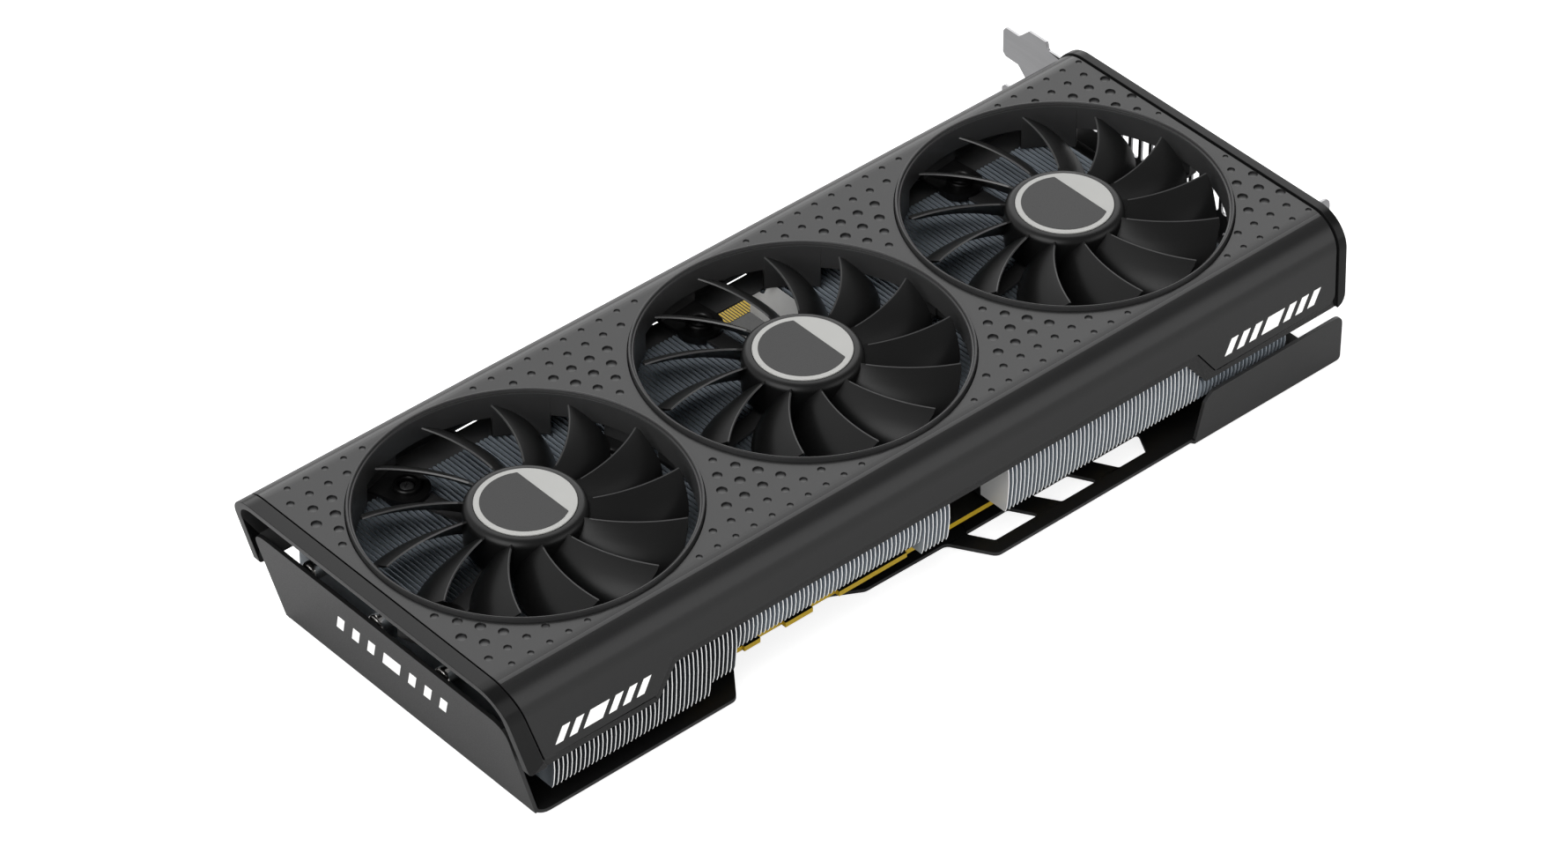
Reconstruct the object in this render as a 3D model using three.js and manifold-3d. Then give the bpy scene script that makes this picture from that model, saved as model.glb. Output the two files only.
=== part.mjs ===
// Triple-fan, two-and-a-half-slot graphics card, in millimetres, +Z up.
// The card lies on its backplate: z = 0 is the outer face of the backplate, the fans face up.
// +X runs along the card towards the I/O bracket, +Y towards the edge connector.
// The origin is under the middle fan's axis. "Near" is the -Y side and "far" the +Y side,
// "left" the -X end and "right" the +X end.
import * as THREE from "three";
import { mergeVertices } from "three/addons/utils/BufferGeometryUtils.js";
import Module from "manifold-3d";

const wasm = await Module();
wasm.setup();

// ---------------------------------------------------------------- driving dimensions
const FAN_PITCH = 97.0; // distance between neighbouring fan axes
const FAN_X = [-FAN_PITCH, 0, FAN_PITCH];
const STRUT_START = [106, 95.5, 95.5]; // angle of each fan's first strut, degrees
const STRUT_COUNT = 4; // struts on each fan, and ears to carry them
const SCREW_CIRCLE_R = 38.4; // radius of the fan screws' circle

const COVER_TOP = 48.65; // outer face of the shroud cover
const COVER_T = 1.3;
const DUCT_OUT_R = 47.05;

const PCB_BOTTOM = 7.06;
const PCB_TOP = 8.66;
const CHIP_BASE = PCB_TOP + 0.06; // underside of the parts on the board
const GPU_X = 52;
const MOUNT_OFFSET = 19; // cooler screws, from the processor's centre in x and in y
const MOUNT_HOLE_R = 2.0;
const MOUNT_POINTS = [-1, 1].flatMap((sideX) =>
  [-1, 1].map((sideY) => [GPU_X + sideX * MOUNT_OFFSET, sideY * MOUNT_OFFSET]),
);

// name, y from, y to, top: the video sockets, which also place the bracket's openings
const SOCKETS = [
  ["video_socket_1", -27, -9, 16.0],
  ["video_socket_2", -5, 13, 16.0],
  ["video_socket_3", 17, 35, 16.0],
  ["video_socket_4", 39.5, 54.5, 15.2],
];

// ---------------------------------------------------------------- finishes
const FINISH = {
  shroudFrame: { color: 0x1b1b1c, roughness: 0.42, metalness: 0.0 },
  shroudCover: { color: 0x3d3d3e, roughness: 0.45, metalness: 0.1 },
  backplate: { color: 0x4a4a4b, roughness: 0.5, metalness: 0.3 },
  board: { color: 0x1d1e1c, roughness: 0.5, metalness: 0.0 },
  gold: { color: 0xd8a92c, roughness: 0.3, metalness: 1.0 },
  ioBracket: { color: 0x8b8c8c, roughness: 0.38, metalness: 1.0 },
  socket: { color: 0xa7a8a8, roughness: 0.3, metalness: 1.0 },
  fins: { color: 0xb9bcbe, roughness: 0.35, metalness: 1.0 },
  heatPipe: { color: 0xb8b2aa, roughness: 0.25, metalness: 1.0 },
  coldPlate: { color: 0xb9744c, roughness: 0.3, metalness: 1.0 },
  frontPlate: { color: 0x161617, roughness: 0.5, metalness: 0.4 },
  gpuPackage: { color: 0x2f5a3a, roughness: 0.5, metalness: 0.0 },
  gpuDie: { color: 0x4c5158, roughness: 0.15, metalness: 0.6 },
  memoryChip: { color: 0x141415, roughness: 0.45, metalness: 0.0 },
  choke: { color: 0x55565a, roughness: 0.6, metalness: 0.2 },
  powerConnector: { color: 0x0d0d0e, roughness: 0.5, metalness: 0.0 },
  springBracket: { color: 0x9a9b9c, roughness: 0.35, metalness: 1.0 },
  screw: { color: 0x3a3a3c, roughness: 0.35, metalness: 1.0 },
  rotor: { color: 0x1a1a1b, roughness: 0.4, metalness: 0.0 },
  badge: { color: 0xc9c9c6, roughness: 0.3, metalness: 0.8 },
  yoke: { color: 0x8d8f92, roughness: 0.4, metalness: 1.0 },
  magnet: { color: 0x2a2a2c, roughness: 0.7, metalness: 0.1 },
  shaft: { color: 0xc4c6c8, roughness: 0.2, metalness: 1.0 },
  bearing: { color: 0xb08a4a, roughness: 0.35, metalness: 1.0 },
  stator: { color: 0xa8632f, roughness: 0.45, metalness: 0.7 },
  fanBase: { color: 0x151516, roughness: 0.5, metalness: 0.0 },
};

// ---------------------------------------------------------------- solids and meshes
const MERGE_TOLERANCE = 1e-4;
const RAD = Math.PI / 180;

// A closed geometry as a solid: vertices are merged and collapsed triangles dropped.
function solid(geometry) {
  const flat = geometry.index ? geometry.toNonIndexed() : geometry;
  const bare = new THREE.BufferGeometry().setAttribute("position", flat.getAttribute("position"));
  const merged = mergeVertices(bare, MERGE_TOLERANCE);
  const index = merged.index.array;
  const triangles = [];
  for (let i = 0; i < index.length; i += 3) {
    const [a, b, c] = index.slice(i, i + 3);
    if (a !== b && b !== c && a !== c) triangles.push(a, b, c);
  }
  return new wasm.Manifold(
    new wasm.Mesh({
      numProp: 3,
      vertProperties: new Float32Array(merged.attributes.position.array),
      triVerts: new Uint32Array(triangles),
    }),
  );
}

// A closed body from flat lists of coordinates and triangle corners.
function solidFromTriangles(vertices, triangles) {
  return solid(
    new THREE.BufferGeometry()
      .setAttribute("position", new THREE.Float32BufferAttribute(vertices, 3))
      .setIndex(triangles),
  );
}

// A solid back to a geometry with flat normals.
function geometryOf(body) {
  const mesh = body.getMesh();
  const geometry = new THREE.BufferGeometry()
    .setAttribute("position", new THREE.Float32BufferAttribute(mesh.vertProperties, 3))
    .setIndex(new THREE.Uint32BufferAttribute(mesh.triVerts, 1))
    .toNonIndexed();
  geometry.computeVertexNormals();
  return geometry;
}

const card = new THREE.Group();

function addPart(name, body, finish, parent = card) {
  const mesh = new THREE.Mesh(geometryOf(body), new THREE.MeshStandardMaterial(finish));
  mesh.name = name;
  parent.add(mesh);
}

// ---------------------------------------------------------------- shape helpers
// A span is a pair [low, high].
const around = (centre, half) => [centre - half, centre + half];
const polar = (radius, degrees) => [
  radius * Math.cos(degrees * RAD),
  radius * Math.sin(degrees * RAD),
];

function box([x0, x1], [y0, y1], [z0, z1]) {
  return solid(
    new THREE.BoxGeometry(x1 - x0, y1 - y0, z1 - z0).translate(
      (x0 + x1) / 2,
      (y0 + y1) / 2,
      (z0 + z1) / 2,
    ),
  );
}

// upright cylinder
function cylinder([z0, z1], radius, sides, x = 0, y = 0) {
  return solid(
    new THREE.CylinderGeometry(radius, radius, z1 - z0, sides)
      .rotateX(Math.PI / 2)
      .translate(x, y, (z0 + z1) / 2),
  );
}

function tube([z0, z1], outerR, innerR, sides, x = 0, y = 0) {
  return cylinder([z0, z1], outerR, sides, x, y).subtract(
    cylinder([z0 - 1, z1 + 1], innerR, sides, x, y),
  );
}

function extrude(outline, depth) {
  const shape = new THREE.Shape();
  outline.forEach(([a, b], i) => (i ? shape.lineTo(a, b) : shape.moveTo(a, b)));
  shape.closePath();
  return new THREE.ExtrudeGeometry(shape, { depth, bevelEnabled: false });
}

// outline in (x, y), raised along z
function prismZ(outline, [z0, z1]) {
  return solid(extrude(outline, z1 - z0).translate(0, 0, z0));
}

// outline in (y, z), extruded along x
function prismX(outline, [x0, x1]) {
  const turn = new THREE.Matrix4().set(0, 0, 1, x0, 1, 0, 0, 0, 0, 1, 0, 0, 0, 0, 0, 1);
  return solid(extrude(outline, x1 - x0).applyMatrix4(turn));
}

// outline in (x, z), extruded along y
function prismY(outline, [y0, y1]) {
  const turn = new THREE.Matrix4().set(1, 0, 0, 0, 0, 0, -1, y1, 0, 1, 0, 0, 0, 0, 0, 1);
  return solid(extrude(outline, y1 - y0).applyMatrix4(turn));
}

const rectangle = ([a0, a1], [b0, b1]) => [[a0, b0], [a1, b0], [a1, b1], [a0, b1]];

// Replaces the corners of a polygon by short curves; radii is one number, or one per corner.
function rounded(points, radii, steps = 2) {
  const count = points.length;
  return points.flatMap(([x, y], i) => {
    const radius = Array.isArray(radii) ? radii[i] : radii;
    if (!radius) return [[x, y]];
    const [beforeX, beforeY] = points[(i + count - 1) % count];
    const [afterX, afterY] = points[(i + 1) % count];
    const back = new THREE.Vector2(beforeX - x, beforeY - y).normalize();
    const ahead = new THREE.Vector2(afterX - x, afterY - y).normalize();
    const halfAngle = Math.acos(Math.max(-1, Math.min(1, back.dot(ahead)))) / 2;
    const reach = radius / Math.tan(halfAngle);
    const curve = [];
    for (let k = 0; k <= steps; k++) {
      const t = k / steps;
      const u = 1 - t;
      curve.push([
        u * u * (x + back.x * reach) + 2 * u * t * x + t * t * (x + ahead.x * reach),
        u * u * (y + back.y * reach) + 2 * u * t * y + t * t * (y + ahead.y * reach),
      ]);
    }
    return curve;
  });
}

// ---------------------------------------------------------------- shroud section
const WALL_TOP_Y = 56.6; // half width of the shroud at its edge radius
const WALL_LOW_Y = 57.5; // half width at the foot: a slight draft
const WALL_LOW_Z = [-6, 16]; // upright foot of the wall, trimmed later by the side outlines
const EDGE_R = 10; // radius of the long edges
const EDGE_STEPS = 4;
const ACROSS = [-60, 60]; // wider than the card

// Tunnel section in (y, z), offset inwards.
function section(offset) {
  const half = WALL_LOW_Z.map((z) => [WALL_LOW_Y - offset, z]);
  for (let i = 0; i <= EDGE_STEPS; i++) {
    const [y, z] = polar(EDGE_R - offset, (i / EDGE_STEPS) * 90);
    half.push([WALL_TOP_Y - EDGE_R + y, COVER_TOP - EDGE_R + z]);
  }
  return [...half, ...half.map(([y, z]) => [-y, z]).reverse()];
}

function shell(outerOffset, innerOffset, [x0, x1]) {
  return prismX(section(outerOffset), [x0, x1]).subtract(
    prismX(section(innerOffset), [x0 - 1, x1 + 1]),
  );
}

// side outline of the frame: x, z
const FRAME_SIDE = rounded(
  [
    [-152.1, COVER_TOP + 6], [-152.1, COVER_TOP], [-144.0, 19.6], [-100.3, 19.6],
    [-93.7, 29.0], [90.5, 28.8], [97.8, 19.8], [151.0, 19.8],
    [151.0, 40], [150.6, COVER_TOP + 6],
  ],
  [0, 0, 1.5, 1, 1, 1, 1, 4.5, 0, 0],
);

// inner and outer edges of the frame's left end band: x, z
const LEFT_BAND_SIDE = [
  [-153, COVER_TOP + 6], [-152.1, COVER_TOP], [-144.0, 19.6], [-138.0, 19.6],
  [-139.15, 21.9], [-147.35, COVER_TOP], [-149.2, COVER_TOP + 6],
];

// Side outline of the cover in (x, z), widened by a gap.
function coverSide(gap) {
  return rounded(
    [
      [-148.55 - gap, COVER_TOP + 5],
      [-138.8 - gap, 22.2 - gap],
      [-101.5 + gap * 0.4, 22.0 - gap],
      [-95.1 + gap * 0.4, 31.5 - gap],
      [94.2 - gap * 0.4, 31.3 - gap],
      [101.2 - gap * 0.4, 22.1 - gap],
      [147.6 + gap, 22.1 - gap],
      [147.6 + gap, COVER_TOP + 5],
    ],
    [0, 1.2, 1, 1, 1, 1, 3.5, 0],
  );
}

// ---------------------------------------------------------------- shroud frame
const FRAME_X = [-153, 151.2];
const FRAME_INNER_OFFSET = 2.6;
const FLANGE_SPANS_Y = [[-54.6, -45], [45, 54.6]];
const SNAP_SLOT_SPANS = [[19, 26.5], [-8.3, -4.0]]; // x from each fan axis
const DUCT_R = 45.5; // fan opening
const DUCT_SIDES = 36; // sides of each round opening
const DUCT_LOW = 41.5;
const RING_TOP = 49.95; // rim round each fan opening stands proud of the cover
const OPENING_Z = [40, 60]; // cuts through the top of the shroud
const SKIRTS = [[42, 62], [118, 148], [222, 242], [298, 318]]; // degrees
const SKIRT_LOW = 34.8;
const EAR_Z = [36.05, 37.1];
const EAR_RISER_TOP = 46.9;
const EAR_R = 6.5; // also half the ear's width
const EAR_END = 49.5; // distance of the ear's outer end from the fan axis

// Thin walls with a thicker band at each end and a pocket for the cover.
function frameWalls() {
  const side = prismY(FRAME_SIDE, ACROSS);
  const leftBand = prismY(LEFT_BAND_SIDE, ACROSS).intersect(side);
  const pocket = shell(-3, COVER_T + 0.15, [-152, 150]).intersect(
    prismY(coverSide(0.2), [-62, 62]),
  );
  return shell(0.5, FRAME_INNER_OFFSET, FRAME_X)
    .intersect(side)
    .add(shell(0, FRAME_INNER_OFFSET, [FRAME_X[0], -130]).intersect(leftBand))
    .add(shell(-0.2, FRAME_INNER_OFFSET, [147.8, FRAME_X[1]]).intersect(side))
    .subtract(pocket);
}

// The part of a duct that reaches down towards the fins, between two angles.
function ductSkirt([from, to]) {
  const corners = [from, (from + to) / 2, to].map((angle) => polar(60, angle));
  return tube([SKIRT_LOW, DUCT_LOW + 1], DUCT_OUT_R, DUCT_R, DUCT_SIDES).intersect(
    prismZ([[0, 0], ...corners], [30, 50]),
  );
}

// Ear under a fan screw, with a riser at its outer end.
function screwEar(angle) {
  const width = around(0, EAR_R);
  return box([SCREW_CIRCLE_R, EAR_END], width, EAR_Z)
    .add(cylinder(EAR_Z, EAR_R, 12, SCREW_CIRCLE_R))
    .add(box([46.5, EAR_END], width, [EAR_Z[0], EAR_RISER_TOP]))
    .rotate([0, 0, angle]);
}

function shroudFrame() {
  let frame = frameWalls();
  // inward flanges along both long sides
  for (const spanY of FLANGE_SPANS_Y) frame = frame.add(box([-144, 147.5], spanY, [28.9, 30.4]));
  // snap slots in the far flange
  for (const x of FAN_X)
    for (const [from, to] of SNAP_SLOT_SPANS)
      frame = frame.subtract(box([x + from, x + to], [52.9, 53.6], [28, 31]));
  for (const x of FAN_X) {
    frame = frame.subtract(cylinder(OPENING_Z, DUCT_OUT_R, DUCT_SIDES, x));
    frame = frame.add(tube([DUCT_LOW, RING_TOP], DUCT_OUT_R, DUCT_R, DUCT_SIDES, x));
  }
  const inside = prismX(section(1.5), [-150, 149]);
  FAN_X.forEach((x, fan) => {
    for (const angles of SKIRTS) frame = frame.add(ductSkirt(angles).translate([x, 0, 0]));
    for (let k = 0; k < STRUT_COUNT; k++) {
      const ear = screwEar(STRUT_START[fan] + (360 / STRUT_COUNT) * k).translate([x, 0, 0]);
      frame = frame.add(ear.intersect(inside));
    }
  });
  return frame;
}

// ---------------------------------------------------------------- shroud cover
const COVER_OPENING_R = DUCT_OUT_R + 0.25;

function shroudCover() {
  let cover = shell(0, COVER_T, [-152, 149]).intersect(prismY(coverSide(0), ACROSS));
  for (const x of FAN_X)
    cover = cover.subtract(cylinder(OPENING_Z, COVER_OPENING_R, DUCT_SIDES, x));
  return cover;
}

// ---------------------------------------------------------------- backplate
const BACKPLATE_T = 1.2;
const BACKPLATE_LEFT = -138.5;
const BACKPLATE_NEAR = -57.4;
const BACKPLATE_CUT = [-1, 2]; // z span of cuts through the plate
const CAP_SLOPE = 0.271; // the end cap leans towards -X by this much for each mm of height
const VENTS = { count: 5, firstX: -128, pitch: 9.2 };

// x, y
const BACKPLATE_OUTLINE = rounded(
  [
    [BACKPLATE_LEFT, -53.6], [-70.8, -53.6], [-59.0, -38.3], [-25.0, -38.5],
    [-16.0, -43.6], [12.9, -44.0], [20.6, -56.4], [93.4, -56.4],
    [94.0, BACKPLATE_NEAR], [147.8, BACKPLATE_NEAR], [147.8, 52.5], [BACKPLATE_LEFT, 52.5],
  ],
  [4, 3, 3, 5, 3, 2.5, 3, 0, 0, 1, 3, 2],
);
// wall folded up along the near side by the bracket: x, z
const BACKPLATE_WALL = rounded(
  [[94.0, 0], [151.0, 0], [151.0, 15.7], [100.4, 15.4], [97.4, 12.8]],
  [0, 1.5, 3.3, 1.2, 1],
);
// slanted four-sided openings along the near edge: x, y
const NEAR_OPENINGS = [
  [[19.4, -44.1], [35.7, -44.1], [40.4, -51.8], [24.0, -51.8]],
  [[43.9, -44.2], [57.9, -44.2], [62.2, -51.9], [48.8, -51.9]],
  [[66.2, -44.2], [84.9, -44.2], [80.8, -51.8], [70.5, -51.8]],
];

function endCap() {
  const outline = rounded(rectangle([-52.2, 52.2], [0, 36.3]), [0, 0, 6, 6], 4);
  return prismX(outline, [0, BACKPLATE_T])
    .rotate([0, -Math.atan(CAP_SLOPE) / RAD, 0])
    .translate([BACKPLATE_LEFT, 0, 0])
    .intersect(box([-160, -130], ACROSS, [0, 60]));
}

function backplate() {
  const cuts = NEAR_OPENINGS.map((outline) => rounded(outline, 1.0));
  // window over the cooler's spring bracket
  cuts.push(rounded(rectangle(around(GPU_X, 27), around(0, 27)), 4, 3));
  // slanted vents under the left end of the cooler
  for (let i = 0; i < VENTS.count; i++) {
    const x = VENTS.firstX + i * VENTS.pitch;
    cuts.push(rounded([[x, -34], [x + 4.2, -34], [x + 12.2, 34], [x + 8, 34]], 1.2));
  }
  let plate = prismZ(BACKPLATE_OUTLINE, [0, BACKPLATE_T])
    .add(prismY(BACKPLATE_WALL, [BACKPLATE_NEAR, BACKPLATE_NEAR + BACKPLATE_T]))
    .add(endCap());
  for (const outline of cuts) plate = plate.subtract(prismZ(outline, BACKPLATE_CUT));
  return plate;
}

// ---------------------------------------------------------------- circuit board
const PCB_X = [-80, 150.6];
const PCB_NEAR = -45.4;
const NEAR_TAB = PCB_NEAR - 0.85;
const NEAR_DIP = PCB_NEAR + 0.8;
const PCB_FAR = 57.3;
const TONGUE_X = [14.3, 103.2]; // edge connector
const TONGUE_Y = 65.65;
const KEY_NOTCH_X = [89.3, 91.2];
const KEY_NOTCH_Y = PCB_FAR + 0.6;
const HOOK_X = [6.5, 11.2]; // small tab left of the tongue
const HOOK_Y = 62.5;

// x, y
const PCB_OUTLINE = [
  [PCB_X[0], PCB_NEAR], [-61.5, PCB_NEAR],
  [-61.5, NEAR_TAB], [-55.9, NEAR_TAB], [-55.9, NEAR_DIP], [-47.0, NEAR_DIP],
  [-47.0, NEAR_TAB], [-37.3, NEAR_TAB], [-37.3, NEAR_DIP], [-27.9, NEAR_DIP],
  [-27.9, NEAR_TAB], [-3.5, NEAR_TAB], [-3.5, PCB_NEAR],
  [PCB_X[1], PCB_NEAR], [PCB_X[1], PCB_FAR],
  [TONGUE_X[1], PCB_FAR], [TONGUE_X[1], TONGUE_Y],
  [KEY_NOTCH_X[1], TONGUE_Y], [KEY_NOTCH_X[1], KEY_NOTCH_Y],
  [KEY_NOTCH_X[0], KEY_NOTCH_Y], [KEY_NOTCH_X[0], TONGUE_Y],
  [TONGUE_X[0], TONGUE_Y], [TONGUE_X[0], PCB_FAR],
  [HOOK_X[1], PCB_FAR], [HOOK_X[1], HOOK_Y], [HOOK_X[0], HOOK_Y], [HOOK_X[0], PCB_FAR],
  [PCB_X[0], PCB_FAR],
];

function circuitBoard() {
  let board = prismZ(PCB_OUTLINE, [PCB_BOTTOM, PCB_TOP]);
  for (const [x, y] of MOUNT_POINTS)
    board = board.subtract(cylinder([6, 10], MOUNT_HOLE_R, 12, x, y));
  return board;
}

// gold contact rows on both faces, either side of the key notch
const CONTACT_T = 0.12;
const CONTACT_GAP = 0.02; // between a row and the board
const CONTACT_Y = [60.1, 65.2];
const CONTACT_ROWS = { short: [91.8, 102.7], long: [14.9, 88.8] }; // x spans
const CONTACT_FACES = {
  front: PCB_TOP + CONTACT_GAP,
  back: PCB_BOTTOM - CONTACT_GAP - CONTACT_T,
}; // underside of the rows on each face

function addContacts() {
  for (const [face, z] of Object.entries(CONTACT_FACES))
    for (const [length, spanX] of Object.entries(CONTACT_ROWS)) {
      const row = box(spanX, CONTACT_Y, [z, z + CONTACT_T]);
      addPart(`contacts_${face}_${length}`, row, FINISH.gold);
    }
}

// ---------------------------------------------------------------- I/O bracket
const BRACKET_X = [151.6, 152.5];
const BRACKET_CUT_X = [151, 153];
const BRACKET_NEAR = -37.9;
const BRACKET_VENTS = { count: 21, firstY: -27, pitch: 4.1, width: 2.9 };
const SOCKET_MARGIN = 0.3; // opening beyond the socket at either side

// y, z
const BRACKET_FACE = [
  [BRACKET_NEAR, 3.9], [72.8, 3.9], [76.9, 8.1], [82.0, 8.2], [83.2, 9.4],
  [83.2, 17.1], [82.0, 18.3], [76.9, 18.3], [72.3, 22.6], [72.3, 24.2],
  [76.7, 28.4], [82.0, 28.5], [83.2, 29.7], [83.2, 37.3], [82.2, 38.6],
  [76.6, 38.5], [72.5, 42.5], [65.0, 42.5], [64.6, 40.1], [BRACKET_NEAR, 40.1],
];
// flange folded outwards along the near edge: x, z
const BRACKET_FLANGE = rounded(
  [
    [BRACKET_X[0], 5.0], [163.9, 5.0], [163.9, 17.2], [160.2, 17.2],
    [160.2, 21.8], [163.9, 21.8], [163.9, 39.4], [BRACKET_X[0], 39.4],
  ],
  [0, 3, 1, 0, 0, 1, 3, 0],
);

function ioBracket() {
  let bracket = prismX(BRACKET_FACE, BRACKET_X).add(
    prismY(BRACKET_FLANGE, [BRACKET_NEAR, -37.0]),
  );
  // upright vent slots in the upper half
  for (let i = 0; i < BRACKET_VENTS.count; i++) {
    const y = BRACKET_VENTS.firstY + i * BRACKET_VENTS.pitch;
    bracket = bracket.subtract(box(BRACKET_CUT_X, [y, y + BRACKET_VENTS.width], [22.5, 37.0]));
  }
  // openings for the video sockets in the lower half
  for (const [, y0, y1] of SOCKETS) {
    const spanY = [y0 - SOCKET_MARGIN, y1 + SOCKET_MARGIN];
    bracket = bracket.subtract(box(BRACKET_CUT_X, spanY, [8.6, 16.3]));
  }
  return bracket;
}

// Socket shell open to +X with a tongue inside.
function videoSocket(y0, y1, top) {
  return box([133, 152.2], [y0, y1], [PCB_TOP + 0.1, top])
    .subtract(box([137, 153], [y0 + 0.9, y1 - 0.9], [PCB_TOP + 1.0, top - 0.8]))
    .add(box([136.5, 150], [y0 + 3, y1 - 3], [PCB_TOP + 2.9, PCB_TOP + 4.0]));
}

// ---------------------------------------------------------------- fin stacks
// Every fin is a thin upright sheet square to x; a flat web joins them.
const FIN_STEP = 4.44; // the solids carry every third fin of a 1.48 mm pitch
const FIN_T = 0.5;
const FIN_TOP = 34.5;
const FIN_SIDE_TOP = 28.6;
const FIN_CORE_Y = 44.5; // half width of the raised middle
const FIN_NEAR = -54.0;
const FIN_FAR = 50.0;
const LEFT_STACK_X = [-134.5, 4.9];
const RIGHT_STACK_X = [24.9, 131.5];
// fins left of this x, foot of their near strip, foot of the rest
const LEFT_FIN_FEET = [
  [-81, 8.2, 8.2],
  [-71, 12.2, 12.2],
  [-6, 17.5, 17.5],
  [Infinity, 14.6, 17.5],
];

const finOutline = (nearFoot, foot) => [
  [FIN_NEAR, nearFoot], [-44.6, nearFoot], [-44.4, foot], [FIN_FAR, foot],
  [FIN_FAR, FIN_SIDE_TOP], [FIN_CORE_Y, FIN_SIDE_TOP],
  [FIN_CORE_Y - 3, FIN_TOP], [-FIN_CORE_Y + 3, FIN_TOP],
  [-FIN_CORE_Y, FIN_SIDE_TOP], [FIN_NEAR, FIN_SIDE_TOP],
];

function finStack([x0, x1], outlineAt, webZ) {
  const last = Math.floor((x1 - x0 - FIN_T) / FIN_STEP);
  const bodies = [];
  for (let i = 0; i <= last; i++) {
    const x = x0 + i * FIN_STEP;
    bodies.push(prismX(outlineAt(x), [x, x + FIN_T]));
  }
  bodies.push(box([x0, x0 + last * FIN_STEP + FIN_T], [-30, 30], webZ));
  return bodies.reduce((a, b) => a.add(b));
}

function leftFinStack() {
  const outlineAt = (x) => {
    const [, nearFoot, foot] = LEFT_FIN_FEET.find(([limit]) => x < limit);
    return finOutline(nearFoot, foot);
  };
  const [x0, x1] = LEFT_STACK_X;
  // one wide slot runs through all the fins at the height of the heat pipes
  const slot = box([x0 - 1, x1 + 1], [-48.3, 45.2], [21.5, 28.2]);
  return finStack(LEFT_STACK_X, outlineAt, [19.6, 20.4]).subtract(slot);
}

const rightFinStack = () => finStack(RIGHT_STACK_X, () => finOutline(12.2, 19.2), [26.0, 26.8]);

// ---------------------------------------------------------------- heat pipes
const PIPE_R = 2.9;
const PIPE_SIDES = 10;
const PIPE_STATIONS_X = [74, 38, 33, 28, 23, 18.5, 15, 11.5, 8, 5.4, -60, -141.5];
// y over the cold plate, y through the fins
const PIPE_Y = [[8, 38.5], [0, 10.5], [-8, -17]];
const PIPE_Z = [15.9, 24.85]; // over the cold plate, through the fins

// Straight over the cold plate, a bend in plan and in height, straight through the fins.
function pipeCentre(x, [plateY, finsY]) {
  const { lerp, smoothstep } = THREE.MathUtils;
  return [
    lerp(finsY, plateY, smoothstep(x, 6, 38)),
    lerp(PIPE_Z[1], PIPE_Z[0], smoothstep(x, 5.4, 24)),
  ];
}

// Ten-sided rings, square to x, joined into one closed body.
function heatPipe(pipeY) {
  const vertices = [];
  const triangles = [];
  for (const x of PIPE_STATIONS_X) {
    const [y, z] = pipeCentre(x, pipeY);
    for (let k = 0; k < PIPE_SIDES; k++) {
      const [dy, dz] = polar(PIPE_R, ((k + 0.5) / PIPE_SIDES) * 360);
      vertices.push(x, y + dy, z + dz);
    }
  }
  const lastRing = PIPE_STATIONS_X.length - 1;
  for (let ring = 0; ring < lastRing; ring++)
    for (let k = 0; k < PIPE_SIDES; k++) {
      const a = ring * PIPE_SIDES + k;
      const b = ring * PIPE_SIDES + ((k + 1) % PIPE_SIDES);
      triangles.push(a, a + PIPE_SIDES, b, b, a + PIPE_SIDES, b + PIPE_SIDES);
    }
  const end = lastRing * PIPE_SIDES;
  for (let k = 1; k + 1 < PIPE_SIDES; k++) {
    triangles.push(0, k, k + 1);
    triangles.push(end, end + k + 1, end + k);
  }
  return solidFromTriangles(vertices, triangles);
}

// ---------------------------------------------------------------- plates and chips
const MEMORY_CENTRES = [[83, 10], [83, -10], [44, -34], [60, -34]]; // x, y
const CHOKE_Y = [-20, 0, 20];
// x, y
const FRONT_PLATE_OUTLINE = [
  [-68, -45.9], [-3.8, -45.9], [-3.8, -44.2], [4.2, -44.2], [4.2, -19],
  [26.0, -19], [26.0, -44.2], [128, -44.2], [128, 46], [-68, 46],
];

const coldPlate = () => box(around(GPU_X, 22), around(0, 22), [10.8, 12.9]);

// Plate over the board with windows round the cold plate and the chokes.
function frontPlate() {
  return prismZ(FRONT_PLATE_OUTLINE, [10.3, 11.9])
    .subtract(box(around(GPU_X, 24), around(0, 25), [9, 13]))
    .subtract(box([-64, -42], around(0, 32), [9, 13]));
}

const gpuPackage = () => box(around(GPU_X, 14), around(0, 14), [CHIP_BASE, 9.9]);
const gpuDie = () => box(around(GPU_X, 8.5), around(0, 6), [9.92, 10.7]);
const memoryChip = (x, y) => box(around(x, 6), around(y, 7), [CHIP_BASE, 9.85]);
const choke = (y) => box([-58, -48], around(y, 5), [CHIP_BASE, 13.2]);

// ---------------------------------------------------------------- power connector
const CAVITY = { columns: 4, rows: 2, x: 6.55, z: 11.4, pitchX: 4.25, pitchZ: 4.9, size: 3.5 };

// Block with square cavities open to -Y.
function powerConnector() {
  let block = box([5.3, 24.3], [-37.5, -21], [PCB_TOP + 0.1, 22.2]);
  for (let i = 0; i < CAVITY.columns; i++)
    for (let j = 0; j < CAVITY.rows; j++) {
      const x = CAVITY.x + i * CAVITY.pitchX;
      const z = CAVITY.z + j * CAVITY.pitchZ;
      const cavity = box([x, x + CAVITY.size], [-38.5, -26.5], [z, z + CAVITY.size]);
      block = block.subtract(cavity);
    }
  return block;
}

// ---------------------------------------------------------------- spring bracket
const SPRING_Z = [4.9, 6.1];

function springBracket() {
  const arm = (angle) =>
    box([-30, 30], [-4.5, 4.5], SPRING_Z).rotate([0, 0, angle]).translate([GPU_X, 0, 0]);
  let bracket = arm(45).add(arm(-45)).add(cylinder(SPRING_Z, 11, 24, GPU_X));
  for (const [x, y] of MOUNT_POINTS)
    bracket = bracket.subtract(cylinder([4, 7], MOUNT_HOLE_R, 12, x, y));
  return bracket;
}

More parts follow.
